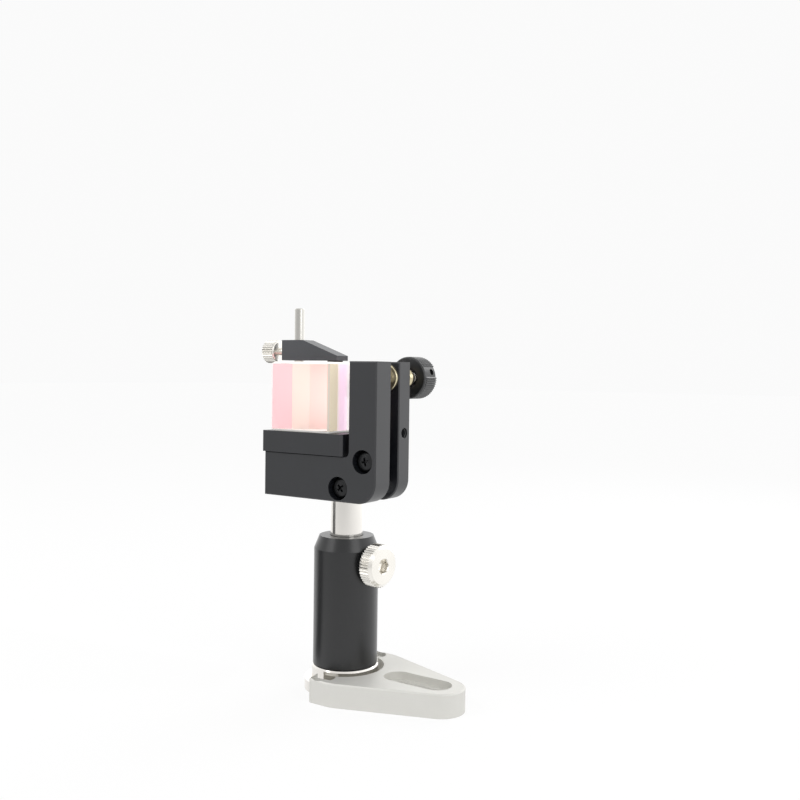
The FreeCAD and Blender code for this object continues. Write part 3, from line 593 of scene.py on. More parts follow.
class Helix(GrownMesh):
    """Round or sharp section swept along a helix: a thread or a spring."""

    NAME = "helix"
    INPUTS = (
        ("Turns", "NodeSocketFloat"), ("Radius", "NodeSocketFloat"), ("Height", "NodeSocketFloat"),
        ("Section Radius", "NodeSocketFloat"), ("Section Sides", "NodeSocketInt"), ("Steps", "NodeSocketInt"),
    )
    CREASE = math.radians(40)

    def grow(self, given: bpy_prop_collection) -> NodeSocket:
        """Sweeps the section along a spiral of constant radius.

        Args:
            given: The tree's inputs.

        Returns:
            The swept mesh.
        """
        path = add_node(self.tree, "GeometryNodeCurveSpiral", {
            "Resolution": given["Steps"], "Rotations": given["Turns"], "Start Radius": given["Radius"],
            "End Radius": given["Radius"], "Height": given["Height"],
        }).outputs["Curve"]
        section = add_node(self.tree, "GeometryNodeCurvePrimitiveCircle", {
            "Resolution": given["Section Sides"], "Radius": given["Section Radius"],
        }).outputs["Curve"]
        return add_node(self.tree, "GeometryNodeCurveToMesh", {
            "Curve": path, "Profile Curve": section, "Fill Caps": True,
        }).outputs["Mesh"]


class Knurl(GrownMesh):
    """Straight sharp ridges set evenly round a head, each running out at its ends."""

    NAME = "knurl"
    INPUTS = (
        ("Teeth", "NodeSocketInt"), ("Root Radius", "NodeSocketFloat"), ("Depth", "NodeSocketFloat"),
        ("Length", "NodeSocketFloat"), ("Run Out", "NodeSocketFloat"),
    )
    STATIONS = 11

    def grow(self, given: bpy_prop_collection) -> NodeSocket:
        """Makes one ridge and sets it round the head.

        Args:
            given: The tree's inputs.

        Returns:
            The ridges, as instances.
        """
        foot = add_node(self.tree, "ShaderNodeCombineXYZ", {"X": given["Root Radius"]}).outputs["Vector"]
        line = add_node(self.tree, "GeometryNodeCurvePrimitiveLine", {
            "Start": foot, "Direction": (0, 0, 1), "Length": given["Length"],
        }, mode="DIRECTION").outputs["Curve"]
        stations = add_node(self.tree, "GeometryNodeResampleCurve", {
            "Curve": line, "Count": self.STATIONS,
        }).outputs["Curve"]
        along = add_node(self.tree, "GeometryNodeSplineParameter").outputs["Length"]
        left = add_node(self.tree, "ShaderNodeMath", {
            0: given["Length"], 1: along}, operation="SUBTRACT").outputs[0]
        nearest = add_node(self.tree, "ShaderNodeMath", {0: along, 1: left}, operation="MINIMUM").outputs[0]
        least = 0.25
        swell = add_node(self.tree, "ShaderNodeMapRange", {
            "Value": nearest, "From Min": 0.0, "From Max": given["Run Out"], "To Min": least, "To Max": 1.0,
        }).outputs["Result"]
        shaped = add_node(self.tree, "GeometryNodeSetCurveRadius", {
            "Curve": stations, "Radius": swell}).outputs["Curve"]
        diamond = add_node(self.tree, "GeometryNodeCurvePrimitiveCircle", {
            "Resolution": 4, "Radius": given["Depth"]}).outputs["Curve"]
        ridge = add_node(self.tree, "GeometryNodeCurveToMesh", {
            "Curve": shaped, "Profile Curve": diamond, "Fill Caps": True}).outputs["Mesh"]
        places = add_node(self.tree, "GeometryNodeMeshLine", {
            "Count": given["Teeth"], "Offset": (0, 0, 0)}).outputs["Mesh"]
        share = add_node(self.tree, "ShaderNodeMath", {
            0: add_node(self.tree, "GeometryNodeInputIndex").outputs["Index"], 1: given["Teeth"],
        }, operation="DIVIDE").outputs[0]
        angle = add_node(self.tree, "ShaderNodeMath", {
            0: share, 1: 2 * math.pi}, operation="MULTIPLY").outputs[0]
        turn = add_node(self.tree, "FunctionNodeAxisAngleToRotation", {
            "Axis": (0, 0, 1), "Angle": angle}).outputs["Rotation"]
        return add_node(self.tree, "GeometryNodeInstanceOnPoints", {
            "Points": places, "Instance": ridge, "Rotation": turn}).outputs["Instances"]


def join_meshes(name: str, meshes: Sequence[Mesh]) -> Mesh:
    """Joins meshes that share one material into one.

    Args:
        name: The new mesh's name.
        meshes: The meshes, all in place.

    Returns:
        The joined mesh.
    """
    builder = bmesh.new()
    for mesh in meshes:
        builder.from_mesh(mesh)
    joined = bpy.data.meshes.new(name)
    builder.to_mesh(joined)
    builder.free()
    joined.materials.append(meshes[0].materials[0])
    return joined


def carved(name: str, body: Mesh, cutter: Mesh) -> Mesh:
    """Cuts one closed mesh from another.

    Args:
        name: The new mesh's name.
        body: The mesh that is cut.
        cutter: The mesh that is taken away.

    Returns:
        What is left of the body, with its material.
    """
    pieces = []
    for mesh in (body, cutter):
        pieces.append(bpy.data.objects.new(mesh.name, mesh))
        bpy.context.scene.collection.objects.link(pieces[-1])
    modifier = pieces[0].modifiers.new("cut", "BOOLEAN")
    modifier.operation, modifier.solver, modifier.object = "DIFFERENCE", "EXACT", pieces[1]
    graph = bpy.context.evaluated_depsgraph_get()
    left = bpy.data.meshes.new_from_object(pieces[0].evaluated_get(graph), depsgraph=graph)
    left.name = name
    for piece in pieces:
        bpy.data.objects.remove(piece)
    left.shade_smooth()
    left.set_sharp_from_angle(angle=SHARP)
    return left


def middle(node: str) -> Vector:
    """Centre of a CAD node's box, in metres."""
    low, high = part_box(node)
    return (low + high) / 2


def lying(low: Vector, high: Vector) -> tuple[Vector, float, float]:
    """Place and size of a turned piece that lies along Y, from its box.

    Args:
        low: The box's low corner, in metres.
        high: Its high corner.

    Returns:
        The middle of its front end in metres, and its length and radius in millimetres.
    """
    centre = (low + high) / 2
    return Vector((centre.x, low.y, centre.z)), (high.y - low.y) / MM, (high.z - low.z) / 2 / MM


@dataclass
class CadDress:
    """Gives each CAD node its finish, also the nodes that another piece replaces."""

    nodes: tuple[tuple[Finish, str], ...] = (
        (MILLED_ALUMINIUM, "base_fork"),
        (BLACK_ANODISE, "rear_plate front_plate platform top_knob side_knob"),
        (BLACK_TURNED, "post_holder"),
        (BLACK_COARSE, "clamp_arm"),
        (POLISHED_STEEL, "holder_foot post top_adjuster_screw side_adjuster_screw"),
        (GROUND_STEEL, "clamp_rod"),
        (BEARING_STEEL, "pivot_stud pivot_ball cone_seat vee_seat flat_seat"),
        (BLACK_OXIDE, "foot_screw post_stud preload_screws platform_screws"),
        (BLACK_OXIDE, "top_knob_grub_screw side_knob_grub_screw"),
        (NICKEL, "holder_thumbscrew clamp_thumbscrew"),
        (BRASS, "top_bushing side_bushing clamp_tip"),
        (SPRING_WIRE, "preload_springs"),
        (GROUND_GLASS, "prism"),
        (RUBBER, "clamp_pad"),
        (NYLON, "thumbscrew_tip"),
    )

    def dress(self) -> None:
        """Puts one material on every node."""
        finishes = {name: finish for finish, names in self.nodes for name in names.split()}
        for name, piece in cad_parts.items():
            material = finishes[name].build()
            piece.data.materials.clear()
            piece.data.materials.append(material)
            LOG.info("%s: %s", name, material.name)


@dataclass
class PrismPiece:
    """The prism: polished faces, ground bevels with a painted glow, and coatings with painted reflection
    bands on its long face and one square side.
    """

    leg: float = 28.0 * MM
    bevel: float = 0.7 * MM
    coating_inset: float = 0.15 * MM
    coating_thickness: float = 0.05 * MM
    coating_margin: float = 0.75 * MM
    # The sharp corner reaches this far past the leg that the painted reflection bands are measured on.
    tip: float = 0.5 * MM
    # A bevel round an end tips its normal up or down by more than this, an upright one doesn't.
    tilted: float = 0.1

    def build(self) -> None:
        """Makes the glass body and its two coatings with painted reflection bands."""
        low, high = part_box("prism")
        height = high.z - low.z
        corner = Vector((high.x, low.y, low.z))
        left, back = corner - X_AXIS * (self.leg + self.tip), corner + Y_AXIS * self.leg
        builder = bmesh.new()
        face = builder.faces.new([builder.verts.new(place) for place in (left, corner, back)])
        made = bmesh.ops.extrude_face_region(builder, geom=[face])
        top = [item for item in made["geom"] if isinstance(item, bmesh.types.BMVert)]
        bmesh.ops.translate(builder, verts=top, vec=(0, 0, height))
        bevelled = bmesh.ops.bevel(
            builder, geom=builder.edges[:], offset=self.bevel, segments=1, affect="EDGES",
        )
        bmesh.ops.recalc_face_normals(builder, faces=builder.faces)
        for item in bevelled["faces"]:
            item.material_index = 1 if abs(item.normal.z) > self.tilted else 2
        mesh = write_mesh(builder, bpy.data.meshes.new("prism_glass"))
        for finish in (CrownGlass(), GROUND_GLASS, GROUND_EDGE):
            mesh.materials.append(finish.build())
        glass = finished_object("prism_glass", mesh, "front")
        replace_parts(glass, "prism")
        long_side = (back - left).normalized()
        long_inward = Vector((long_side.y, -long_side.x, 0))
        long_finish = LONG_FACE.build(left.x + self.tip, self.leg)
        side_finish = SQUARE_SIDE.build(corner.y, self.leg)
        self.coating("prism_long_painted_reflection", left, back, height, long_inward, long_finish)
        self.coating("prism_side_painted_reflection", corner, back, height, -X_AXIS, side_finish)

    def coating(self, name: str, start: Vector, end: Vector, height: float, inward: Vector,
                material: Material) -> None:
        """Makes the thin coating sheet just inside an upright face, which carries painted reflection bands.

        Args:
            name: The coating's name.
            start: Foot of the face's first edge.
            end: Foot of its other edge.
            height: The face's height.
            inward: Direction into the glass.
            material: The coating's material.
        """
        along = (end - start).normalized()
        margin = self.coating_margin
        first = start + (along + Z_AXIS) * margin + inward * self.coating_inset
        run = along * ((end - start).length - 2 * margin)
        rise = Z_AXIS * (height - 2 * margin)
        deep = inward * self.coating_thickness
        builder = bmesh.new()
        places = [first, first + run, first + run + rise, first + rise]
        skin(builder, [[builder.verts.new(place + way) for place in places] for way in (Vector(), deep)])
        mesh = write_mesh(builder, bpy.data.meshes.new(name))
        mesh.materials.append(material)
        finished_object(name, mesh, "front")


@dataclass
class AdjusterScrews:
    """The two fine screws, with their threads, ball noses and key sockets."""

    helix: Helix
    pitch_mm: float = 0.5
    core_mm: float = 2.28
    outer_mm: float = 2.5
    socket_mm: float = 1.25
    socket_depth_mm: float = 2.5
    edge_mm: float = 0.25
    sides: int = 48
    nose_steps: int = 10

    def build(self) -> None:
        """Makes both screws."""
        for side in ("top", "side"):
            self.screw(side)

    def screw(self, side: str) -> None:
        """Makes one screw in place of its CAD node.

        Args:
            side: Which adjuster, "top" or "side".
        """
        node = f"{side}_adjuster_screw"
        low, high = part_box(node)
        nose, length, _ = lying(low, high)
        pole, collar, relief, start, drill_tip = 0.02, 0.15, 0.35, self.outer_mm + 0.5, 0.4
        rings = [Ring(0, pole), *rounding(0, 0, self.outer_mm, self.nose_steps)[1:]]
        rings += [
            Ring(self.outer_mm + collar, self.outer_mm), Ring(self.outer_mm + relief, self.core_mm),
            Ring(length - 2 * self.edge_mm, self.core_mm), Ring(length - self.edge_mm, self.outer_mm),
            Ring(length, self.outer_mm - self.edge_mm), Ring(length, self.socket_mm, flats=6),
            Ring(length - self.socket_depth_mm, self.socket_mm, flats=6),
            Ring(length - self.socket_depth_mm - drill_tip, 0.1),
        ]
        steel = POLISHED_STEEL.build()
        bar = turned_mesh(node, rings, self.sides, nose, Y_AXIS, steel)
        threaded = length - 3 * self.edge_mm - start
        ridge = self.outer_mm - self.core_mm
        thread = self.helix.mesh(f"{side}_thread", {
            "Turns": threaded / self.pitch_mm, "Radius": self.core_mm * MM, "Height": threaded * MM,
            "Section Radius": ridge * MM, "Section Sides": 4, "Steps": 28,
        }, steel, nose + Y_AXIS * (start * MM), Y_AXIS)
        piece = finished_object(f"{side}_fine_screw", join_meshes(f"{side}_fine_screw", [bar, thread]),
                                f"{side}_screw")
        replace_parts(piece, node)


@dataclass
class Bushings:
    """The two brass adjuster bushings, with rounded flanges, and waists before their flared tails."""

    sides: int = 96
    bore_mm: float = 2.55
    body_mm: float = 3.8
    flange_mm: float = 1.0
    rim_mm: float = 0.5
    waist_mm: float = 3.1
    flare_mm: float = 0.85
    tail_bevel_mm: float = 0.3
    mouth_mm: float = 0.3
    rim_steps: int = 6

    def build(self) -> None:
        """Makes both bushings."""
        for side in ("top", "side"):
            self.bushing(side)

    def bushing(self, side: str) -> None:
        """Makes one bushing in place of its CAD node.

        Args:
            side: Which adjuster, "top" or "side".
        """
        node = f"{side}_bushing"
        low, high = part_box(node)
        base, length, flange = lying(low, high)
        mouth = self.bore_mm + self.mouth_mm
        rings = [Ring(self.mouth_mm, self.bore_mm), Ring(0, mouth)]
        rings += rounding(0, flange - self.rim_mm, self.rim_mm, self.rim_steps)
        rings += [
            Ring(self.flange_mm, flange), Ring(self.flange_mm, self.body_mm),
            Ring(length - 4 * self.flare_mm, self.body_mm), Ring(length - 3.5 * self.flare_mm, self.waist_mm),
            Ring(length - 2 * self.flare_mm, self.waist_mm), Ring(length - self.flare_mm, self.body_mm),
            Ring(length - self.tail_bevel_mm, self.body_mm), Ring(length, self.body_mm - self.tail_bevel_mm),
            Ring(length, mouth), Ring(length - self.mouth_mm, self.bore_mm),
            Ring(self.mouth_mm, self.bore_mm),
        ]
        name = f"{side}_turned_bushing"
        mesh = turned_mesh(name, rings, self.sides, base, Y_AXIS, BRASS.build(), bored=True)
        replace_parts(finished_object(name, mesh, "rear"), node)


@dataclass
class KnurledHeads:
    """The four knurled heads: two adjuster knobs, the holder's screw and the clamp's screw."""

    knurl: Knurl
    sides: int = 96
    ridge_depth_mm: float = 0.45
    run_out_mm: float = 0.35
    grub_mm: float = 1.25
    grub_turn_deg: float = 18.0
    holder_screw_turn_deg: float = -7.0

    def build(self) -> None:
        """Makes the knobs and both thumbscrews."""
        for side in ("top", "side"):
            self.knob(side)
        self.holder_screw()
        self.clamp_screw()

    def ridges(self, name: str, teeth: int, head_mm: float, span_mm: tuple[float, float],
               base: Vector, axis: Vector, material: Material) -> Mesh:
        """Makes the ridges of one head.

        Args:
            name: The mesh's name.
            teeth: How many ridges.
            head_mm: Radius over the ridges.
            span_mm: Heights at which they start and end.
            base: Foot of the axis.
            axis: Direction of the heights.
            material: Their material.

        Returns:
            The ridges, in place.
        """
        low, high = span_mm
        return self.knurl.mesh(name, {
            "Teeth": teeth, "Root Radius": (head_mm - self.ridge_depth_mm) * MM,
            "Depth": self.ridge_depth_mm * MM, "Length": (high - low) * MM, "Run Out": self.run_out_mm * MM,
        }, material, base + axis * (low * MM), axis)

    def knob(self, side: str) -> None:
        """Makes one adjuster knob in place of its CAD node.

        Args:
            side: Which adjuster, "top" or "side".
        """
        node = f"{side}_knob"
        low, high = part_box(node)
        base, length, radius = lying(low, high)
        teeth, bevel, lip = 60, 0.3, 0.1
        collar, collar_bevel, collar_end, groove_end, groove = radius - 0.1, 0.45, 0.75, 1.3, 0.35
        bore, recess, recess_depth, chamfer = 2.56, 4.2, 3.2, 0.25
        dish, dish_rim, dish_floor = 0.35, radius * 0.62, radius * 0.58
        hub, hub_foot, hub_top = bore + 0.25, bore + 0.5, length - 0.1
        root = radius - self.ridge_depth_mm
        rings = [
            Ring(recess_depth, bore), Ring(recess_depth, recess), Ring(chamfer, recess),
            Ring(0, recess + chamfer), Ring(0, collar - collar_bevel), Ring(collar_bevel, collar),
            Ring(collar_end, collar), Ring(collar_end, root - groove), Ring(groove_end, root - groove),
            Ring(groove_end, root), Ring(length - bevel, root), Ring(length, root - bevel),
            Ring(length, dish_rim), Ring(length - dish, dish_floor), Ring(length - dish, hub_foot),
            Ring(hub_top, hub), Ring(hub_top, bore), Ring(recess_depth, bore),
        ]
        black = BLACK_KNURLED.build()
        core = turned_mesh(f"{side}_knob_core", rings, self.sides, base, Y_AXIS, black, bored=True)
        ridges = self.ridges(f"{side}_knob_ridges", teeth, radius, (groove_end + lip, length - lip),
                             base, Y_AXIS, black)
        turn = math.radians(self.grub_turn_deg)
        out = Vector((math.cos(turn), 0, math.sin(turn)))
        middle_y = (recess_depth + length) / 2
        hole = [Ring(bore, self.grub_mm), Ring(radius + 1, self.grub_mm)]
        drill = turned_mesh(f"{side}_grub_drill", hole, 32, base + Y_AXIS * (middle_y * MM), out, black)
        name = f"{side}_knurled_knob"
        drilled = [carved(f"{part.name}_drilled", part, drill) for part in (core, ridges)]
        piece = finished_object(name, join_meshes(name, drilled), f"{side}_knob")
        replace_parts(piece, node)

    def holder_screw(self) -> None:
        """Makes the holder's thumbscrew in place of its CAD node."""
        turn = math.radians(self.holder_screw_turn_deg)
        axis = Vector((math.cos(turn), math.sin(turn), 0))
        centre = Vector((0, 0, middle("holder_thumbscrew").z))
        start, shank_end, head_end = 13.9, 8.15, 19.8
        head, shank, teeth = 8.3, 3.0, 44
        back_bevel, bevel, lip, soft, tip = 0.4, 1.0, 0.15, 0.15, 0.2
        key, key_mouth, key_depth, drill_depth = 2.5, 0.55, 3.5, 4.3
        root = head - self.ridge_depth_mm
        rings = [
            Ring(shank_end, shank - tip), Ring(shank_end + tip, shank), Ring(start, shank),
            Ring(start, root - back_bevel), Ring(start + back_bevel, root), Ring(head_end - bevel, root),
            Ring(head_end - soft, root - bevel + soft), Ring(head_end, root - bevel),
            Ring(head_end, key + key_mouth), Ring(head_end - 0.3, key + 0.08, flats=6),
            Ring(head_end - 0.5, key, flats=6), Ring(head_end - key_depth, key, flats=6),
            Ring(head_end - drill_depth, 0.2),
        ]
        nickel = NICKEL.build()
        core = turned_mesh("holder_screw_core", rings, self.sides, centre, axis, nickel)
        span = (start + back_bevel + lip, head_end - bevel - lip)
        ridges = self.ridges("holder_screw_ridges", teeth, head, span, centre, axis, nickel)
        name = "holder_knurled_screw"
        piece = finished_object(name, join_meshes(name, [core, ridges]), "holder_screw")
        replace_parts(piece, "holder_thumbscrew")

    def clamp_screw(self) -> None:
        """Makes the clamp's thumbscrew in place of its CAD node."""
        low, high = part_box("clamp_thumbscrew")
        outwards = X_AXIS * -1
        base = Vector((high.x, middle("clamp_thumbscrew").y, middle("clamp_thumbscrew").z))
        whole = (high.x - low.x) / MM
        head_length, head, shank, teeth = 6.4, 4.7, 1.5, 32
        back_bevel, bevel, lip, tip, dish = 0.35, 0.6, 0.12, 0.2, 0.2
        root = head - self.ridge_depth_mm
        start = whole - head_length
        rings = [
            Ring(0, shank - tip), Ring(tip, shank), Ring(start, shank), Ring(start, root - back_bevel),
            Ring(start + back_bevel, root), Ring(whole - bevel, root), Ring(whole, root - bevel),
            Ring(whole, root * 0.55), Ring(whole - dish, root * 0.5), Ring(whole - dish, 0.1),
        ]
        nickel = NICKEL.build()
        core = turned_mesh("clamp_screw_core", rings, self.sides, base, outwards, nickel)
        span = (start + back_bevel + lip, whole - bevel - lip)
        ridges = self.ridges("clamp_screw_ridges", teeth, head, span, base, outwards, nickel)
        name = "clamp_knurled_screw"
        piece = finished_object(name, join_meshes(name, [core, ridges]), "clamp_screw")
        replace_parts(piece, "clamp_thumbscrew")


def preload_places() -> list[Vector]:
    """Middles of the two preload heads, the high one first.

    Returns:
        Their places in the plane of the heads' tops, in metres.
    """
    low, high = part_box("preload_screws")
    reach = PRELOAD_HEAD_MM * MM
    return [
        Vector((high.x - reach, low.y, high.z - reach)), Vector((low.x + reach, low.y, low.z + reach)),
    ]


@dataclass
class CrossScrews:
    """The two preload screws: domed pan heads with tapered cross recesses, and threaded shanks."""

    helix: Helix
    head_mm: float = PRELOAD_HEAD_MM
    height_mm: float = 2.6
    crown_mm: float = 0.35
    shoulder_mm: float = 1.1
    shank_mm: float = 2.0
    thread_mm: float = 0.22
    pitch_mm: float = 0.7
    recess_depth_mm: float = 1.5
    arm_mm: tuple[float, float] = (2.05, 1.0)
    slot_mm: tuple[float, float] = (0.52, 0.3)
    turns_deg: tuple[float, float] = (12.0, 38.0)

    def build(self) -> None:
        """Makes both screws as one piece."""
        low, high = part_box("preload_screws")
        length = (high.y - low.y) / MM
        black = BLACK_OXIDE.build()
        meshes = []
        for i, (base, turn) in enumerate(zip(preload_places(), self.turns_deg)):
            bar = turned_mesh(f"cross_bar_{i}", self.profile(length), 72, base, Y_AXIS, black)
            meshes.append(carved(f"cross_screw_{i}", bar, self.cross(base, math.radians(turn))))
            plain = 0.5
            threaded = length - self.height_mm - 2 * plain
            meshes.append(self.helix.mesh(f"cross_thread_{i}", {
                "Turns": threaded / self.pitch_mm, "Radius": (self.shank_mm - self.thread_mm) * MM,
                "Height": threaded * MM, "Section Radius": self.thread_mm * MM,
                "Section Sides": 4, "Steps": 24,
            }, black, base + Y_AXIS * ((self.height_mm + plain) * MM), Y_AXIS))
        piece = finished_object("cross_screws", join_meshes("cross_screws", meshes), "rear")
        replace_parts(piece, "preload_screws")

    def profile(self, length: float) -> list[Ring]:
        """Outline of one screw.

        Args:
            length: From the head's top to the shank's end, in millimetres.

        Returns:
            Its rings, from the head's top.
        """
        flat = self.head_mm - self.shoulder_mm
        steps = 6
        pole, edge, tip = 0.05, 0.15, 0.4
        crown = [Ring(self.crown_mm * (i / steps) ** 2, max(flat * i / steps, pole)) for i in range(steps)]
        shoulder = rounding(self.crown_mm, flat, self.shoulder_mm, steps)
        core = self.shank_mm - self.thread_mm
        return crown + shoulder + [
            Ring(self.height_mm - edge, self.head_mm), Ring(self.height_mm, self.head_mm - edge),
            Ring(self.height_mm, core), Ring(length - tip, core), Ring(length, core - tip),
        ]

    def cross(self, base: Vector, turn: float) -> Mesh:
        """Makes the tapered cross that is cut from a head.

        Args:
            base: Middle of the head's top.
            turn: Turn about the screw's axis, in radians.

        Returns:
            The cutter's mesh.
        """
        clear = 0.6
        builder = bmesh.new()
        loops = []
        for height, share in ((-clear, 0), (self.recess_depth_mm, 1)):
            arm, slot = self.arm_mm[share], self.slot_mm[share]
            quarter = [(arm, -slot), (arm, slot), (slot, slot)]
            loop = []
            for i in range(4):
                spin = Matrix.Rotation(turn + math.pi / 2 * i, 2)
                for point in quarter:
                    x, z = spin @ Vector(point)
                    loop.append(builder.verts.new(base + Vector((x, height, z)) * MM))
            loops.append(loop)
        skin(builder, loops)
        return write_mesh(builder, bpy.data.meshes.new("cross_cutter"))


@dataclass
class PreloadSprings:
    """Smooth coils in place of the CAD springs."""

    helix: Helix
    wire_mm: float = 0.35
    mean_mm: float = 3.0
    turns: float = 2.5

    def build(self) -> None:
        """Makes both springs as one piece."""
        low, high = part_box("preload_springs")
        start = low.y + self.wire_mm * MM
        height = high.y - low.y - 2 * self.wire_mm * MM
        coils = [
            self.helix.mesh(f"coil_{i}", {
                "Turns": self.turns, "Radius": self.mean_mm * MM, "Height": height,
                "Section Radius": self.wire_mm * MM, "Section Sides": 12, "Steps": 48,
            }, SPRING_WIRE.build(), Vector((place.x, start, place.z)), Y_AXIS)
            for i, place in enumerate(preload_places())
        ]
        piece = finished_object("preload_coils", join_meshes("preload_coils", coils), "rear")
        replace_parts(piece, "preload_springs")


@dataclass
class SideHoleThread:
    """Thread inside the rear plate's side hole."""

    helix: Helix
    pitch_mm: float = 0.7
    length_mm: float = 6.4
    radius_mm: float = 2.0
    ridge_mm: float = 0.22
    above_foot_mm: float = 25.6

    def build(self) -> None:
        """Makes the thread, just inside the hole's mouth."""
        low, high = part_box("rear_plate")
        inset = 0.6
        start = Vector((high.x - (self.length_mm + inset) * MM, 0, low.z + self.above_foot_mm * MM))
        mesh = self.helix.mesh("side_hole_thread", {
            "Turns": self.length_mm / self.pitch_mm, "Radius": self.radius_mm * MM,
            "Height": self.length_mm * MM, "Section Radius": self.ridge_mm * MM,
            "Section Sides": 4, "Steps": 32,
        }, BLACK_ANODISE.build(), start, X_AXIS)
        finished_object("side_hole_thread", mesh, "rear")


@dataclass
class Studio:
    """White floor and surround, soft lamps, a grey card and the camera."""

    focal_px: float = 921.995
    yaw: float = math.radians(33.150)
    pitch: float = math.radians(1.7696)
    roll: float = math.radians(0.7983)
    distance: float = 364.535 * MM
    shift_right: float = -20.938 * MM
    shift_up: float = -37.398 * MM
    aim_height: float = 76.6 * MM
    image_px: int = 800
    sensor_mm: float = 36.0
    floor_half_width: float = 6.0
    glow_share: float = 0.8
    soft_light: float = 0.70
    backdrop: float = 0.96
    floor_glow: float = 1.035
    front_glow: float = 0.70
    back_glow: float = 1.6
    floor_front_glow: float = 0.80
    floor_back_glow: float = 1.45
    floor_reach: float = 0.5
    # The wedge's near and far ends from the post, its turn from the camera's side and its lift.
    flag_reach: tuple[float, float] = (0.05, 0.60)
    flag_turn_deg: tuple[float, float] = (85.0, 115.0)
    flag_lift: float = 0.0005
    lamp_aim: float = 80.0 * MM

    def build(self) -> None:
        """Builds the whole studio."""
        self.floor()
        self.world()
        self.lamps()
        self.flag()
        self.camera()
        bpy.context.scene.view_settings.view_transform = "Standard"

    def floor(self) -> None:
        """Adds the pale floor, which shows as the white surround and keeps the object's shadow."""
        half = self.floor_half_width
        corners = [(-half, -half, 0), (half, -half, 0), (half, half, 0), (-half, half, 0)]
        material, tree = blank_material("matt white board")
        board = add_node(tree, "ShaderNodeBsdfPrincipled", {
            "Base Color": linear("#F8F8F8"), "Roughness": 0.9}).outputs["BSDF"]
        place = add_node(tree, "ShaderNodeTexCoord").outputs["Object"]
        backwards = add_node(tree, "ShaderNodeSeparateXYZ", {0: place}).outputs["Y"]
        mirrored = add_node(tree, "ShaderNodeMapRange", {
            "Value": backwards, "From Min": -self.floor_reach, "From Max": self.floor_reach,
            "To Min": self.floor_front_glow, "To Max": self.floor_back_glow,
        }).outputs["Result"]
        glossy = add_node(tree, "ShaderNodeLightPath").outputs["Is Glossy Ray"]
        strength = add_node(tree, "ShaderNodeMix", {
            "Factor": glossy, 2: self.floor_glow, 3: mirrored}, data_type="FLOAT").outputs[0]
        glow = add_node(tree, "ShaderNodeEmission", {
            "Color": linear("#FFFFFF"), "Strength": strength}).outputs[0]
        share = add_node(tree, "ShaderNodeMath", {
            0: self.seen(tree), 1: self.glow_share}, operation="MULTIPLY").outputs[0]
        mixed = add_node(tree, "ShaderNodeMixShader", {0: share, 1: board, 2: glow}).outputs[0]
        add_node(tree, "ShaderNodeOutputMaterial", {"Surface": mixed})
        board_object = self.sheet("floor", corners, material)

    @staticmethod
    def sheet(name: str, corners: Sequence[tuple[float, float, float]], material: Material) -> Object:
        """Adds a flat sheet with four corners.

        Args:
            name: The sheet's name.
            corners: Its corners in turn, in metres.
            material: Its material.

        Returns:
            The sheet.
        """
        mesh = bpy.data.meshes.new(name)
        mesh.from_pydata(corners, [], [(0, 1, 2, 3)])
        mesh.materials.append(material)
        made = bpy.data.objects.new(name, mesh)
        bpy.context.scene.collection.objects.link(made)
        return made

    @staticmethod
    def seen(tree: NodeTree) -> NodeSocket:
        """Adds a value that is 1 for camera, glossy and transmission rays.

        Args:
            tree: The tree that gets the nodes.

        Returns:
            The value's socket.
        """
        rays = add_node(tree, "ShaderNodeLightPath").outputs
        mirrored = add_node(tree, "ShaderNodeMath", {
            0: rays["Is Camera Ray"], 1: rays["Is Glossy Ray"]}, operation="MAXIMUM").outputs[0]
        return add_node(tree, "ShaderNodeMath", {
            0: mirrored, 1: rays["Is Transmission Ray"]}, operation="MAXIMUM").outputs[0]

    def world(self) -> None:
        """Sets a white surround for the eye, a graded one for reflections and a soft light for the rest."""
        world = bpy.data.worlds.new("studio")
        bpy.context.scene.world = world
        world.use_nodes = True
        tree = world.node_tree
        tree.nodes.clear()
        plain = add_node(tree, "ShaderNodeMapRange", {
            "Value": self.seen(tree), "To Min": self.soft_light, "To Max": self.backdrop}).outputs["Result"]
        mirrored = add_node(tree, "ShaderNodeLightPath").outputs["Is Glossy Ray"]
        strength = add_node(tree, "ShaderNodeMix", {
            "Factor": mirrored, 2: plain, 3: self.surround(tree)}, data_type="FLOAT").outputs[0]
        light = add_node(tree, "ShaderNodeBackground", {
            "Color": linear("#FFFFFF"), "Strength": strength}).outputs["Background"]
        add_node(tree, "ShaderNodeOutputWorld", {"Surface": light})

    def surround(self, tree: NodeTree) -> NodeSocket:
        """Adds what reflections see: a bright back wall and a dim front.

        Args:
            tree: The world's tree.

        Returns:
            The surround's strength in each direction.
        """
        way = add_node(tree, "ShaderNodeTexCoord").outputs["Generated"]
        backwards = add_node(tree, "ShaderNodeSeparateXYZ", {0: way}).outputs["Y"]
        return add_node(tree, "ShaderNodeMapRange", {
            "Value": backwards, "From Min": -1.0, "To Min": self.front_glow, "To Max": self.back_glow,
        }).outputs["Result"]

    def flag(self) -> None:
        """Lays a grey wedge on the floor at the left: the post and the holder mirror it as a streak."""
        (near, far), (low, high) = self.flag_reach, self.flag_turn_deg
        towards = self.yaw - math.pi / 2
        first, last = towards - math.radians(low), towards - math.radians(high)
        corners = [
            (reach * math.cos(angle), reach * math.sin(angle), self.flag_lift)
            for reach, angle in ((near, first), (near, last), (far, last), (far, first))
        ]
        material, tree = blank_material("matt grey card")
        shade = add_node(tree, "ShaderNodeBsdfDiffuse", {"Color": linear("#707070")}).outputs["BSDF"]
        add_node(tree, "ShaderNodeOutputMaterial", {"Surface": shade})
        card_object = self.sheet("flag", corners, material)
        for ray in ("camera", "diffuse", "shadow", "transmission"):
            setattr(card_object, f"visible_{ray}", False)

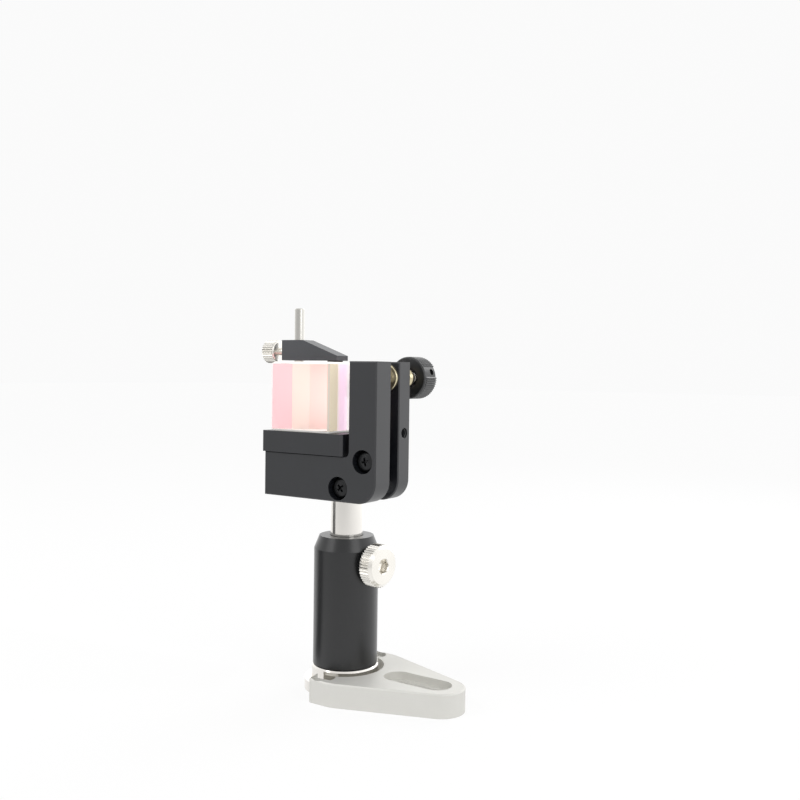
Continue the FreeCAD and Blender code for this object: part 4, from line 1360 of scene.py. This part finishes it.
    def lamps(self) -> None:
        """Adds three soft boxes round the mount."""
        aim = Z_AXIS * self.lamp_aim
        for name, place, size, watts in (
            ("key", Vector((-0.35, -0.55, 0.60)), 0.45, 1.4),
            ("fill", Vector((0.65, -0.20, 0.35)), 0.40, 0.8),
            ("rim", Vector((0.10, 0.60, 0.50)), 0.35, 0.7),
        ):
            data = bpy.data.lights.new(name, "AREA")
            data.size, data.energy = size, watts
            lamp = bpy.data.objects.new(name, data)
            lamp.location = place
            lamp.rotation_euler = (place - aim).to_track_quat("Z", "Y").to_euler()
            bpy.context.scene.collection.objects.link(lamp)

    def camera(self) -> None:
        """Puts the camera where the picture was taken from."""
        right = Vector((math.cos(self.yaw), math.sin(self.yaw), 0))
        back = Vector((
            math.sin(self.yaw) * math.cos(self.pitch), -math.cos(self.yaw) * math.cos(self.pitch),
            math.sin(self.pitch),
        ))
        up = back.cross(right)
        rolled_right = right * math.cos(self.roll) + up * math.sin(self.roll)
        rolled_up = up * math.cos(self.roll) - right * math.sin(self.roll)
        place = back * self.distance - rolled_right * self.shift_right - rolled_up * self.shift_up
        place.z += self.aim_height
        data = bpy.data.cameras.new("camera")
        data.sensor_width = self.sensor_mm
        data.lens = self.focal_px * self.sensor_mm / self.image_px
        data.clip_start, data.clip_end = 0.01, 20.0
        camera = bpy.data.objects.new("camera", data)
        turn = Matrix((rolled_right, rolled_up, back)).transposed().to_4x4()
        camera.matrix_world = Matrix.Translation(place) @ turn
        bpy.context.scene.collection.objects.link(camera)
        bpy.context.scene.camera = camera


def main() -> None:
    """Builds every sub-assembly in order."""
    logging.basicConfig(level=logging.INFO, format="%(message)s")
    helix, knurl = Helix(), Knurl()
    CadDress().dress()
    builders: Sequence[Callable[[], None]] = (
        PrismPiece().build, AdjusterScrews(helix).build, Bushings().build, KnurledHeads(knurl).build,
        CrossScrews(helix).build, PreloadSprings(helix).build, SideHoleThread(helix).build, Studio().build,
    )
    for build in builders:
        build()


if __name__ == "__main__":
    main()
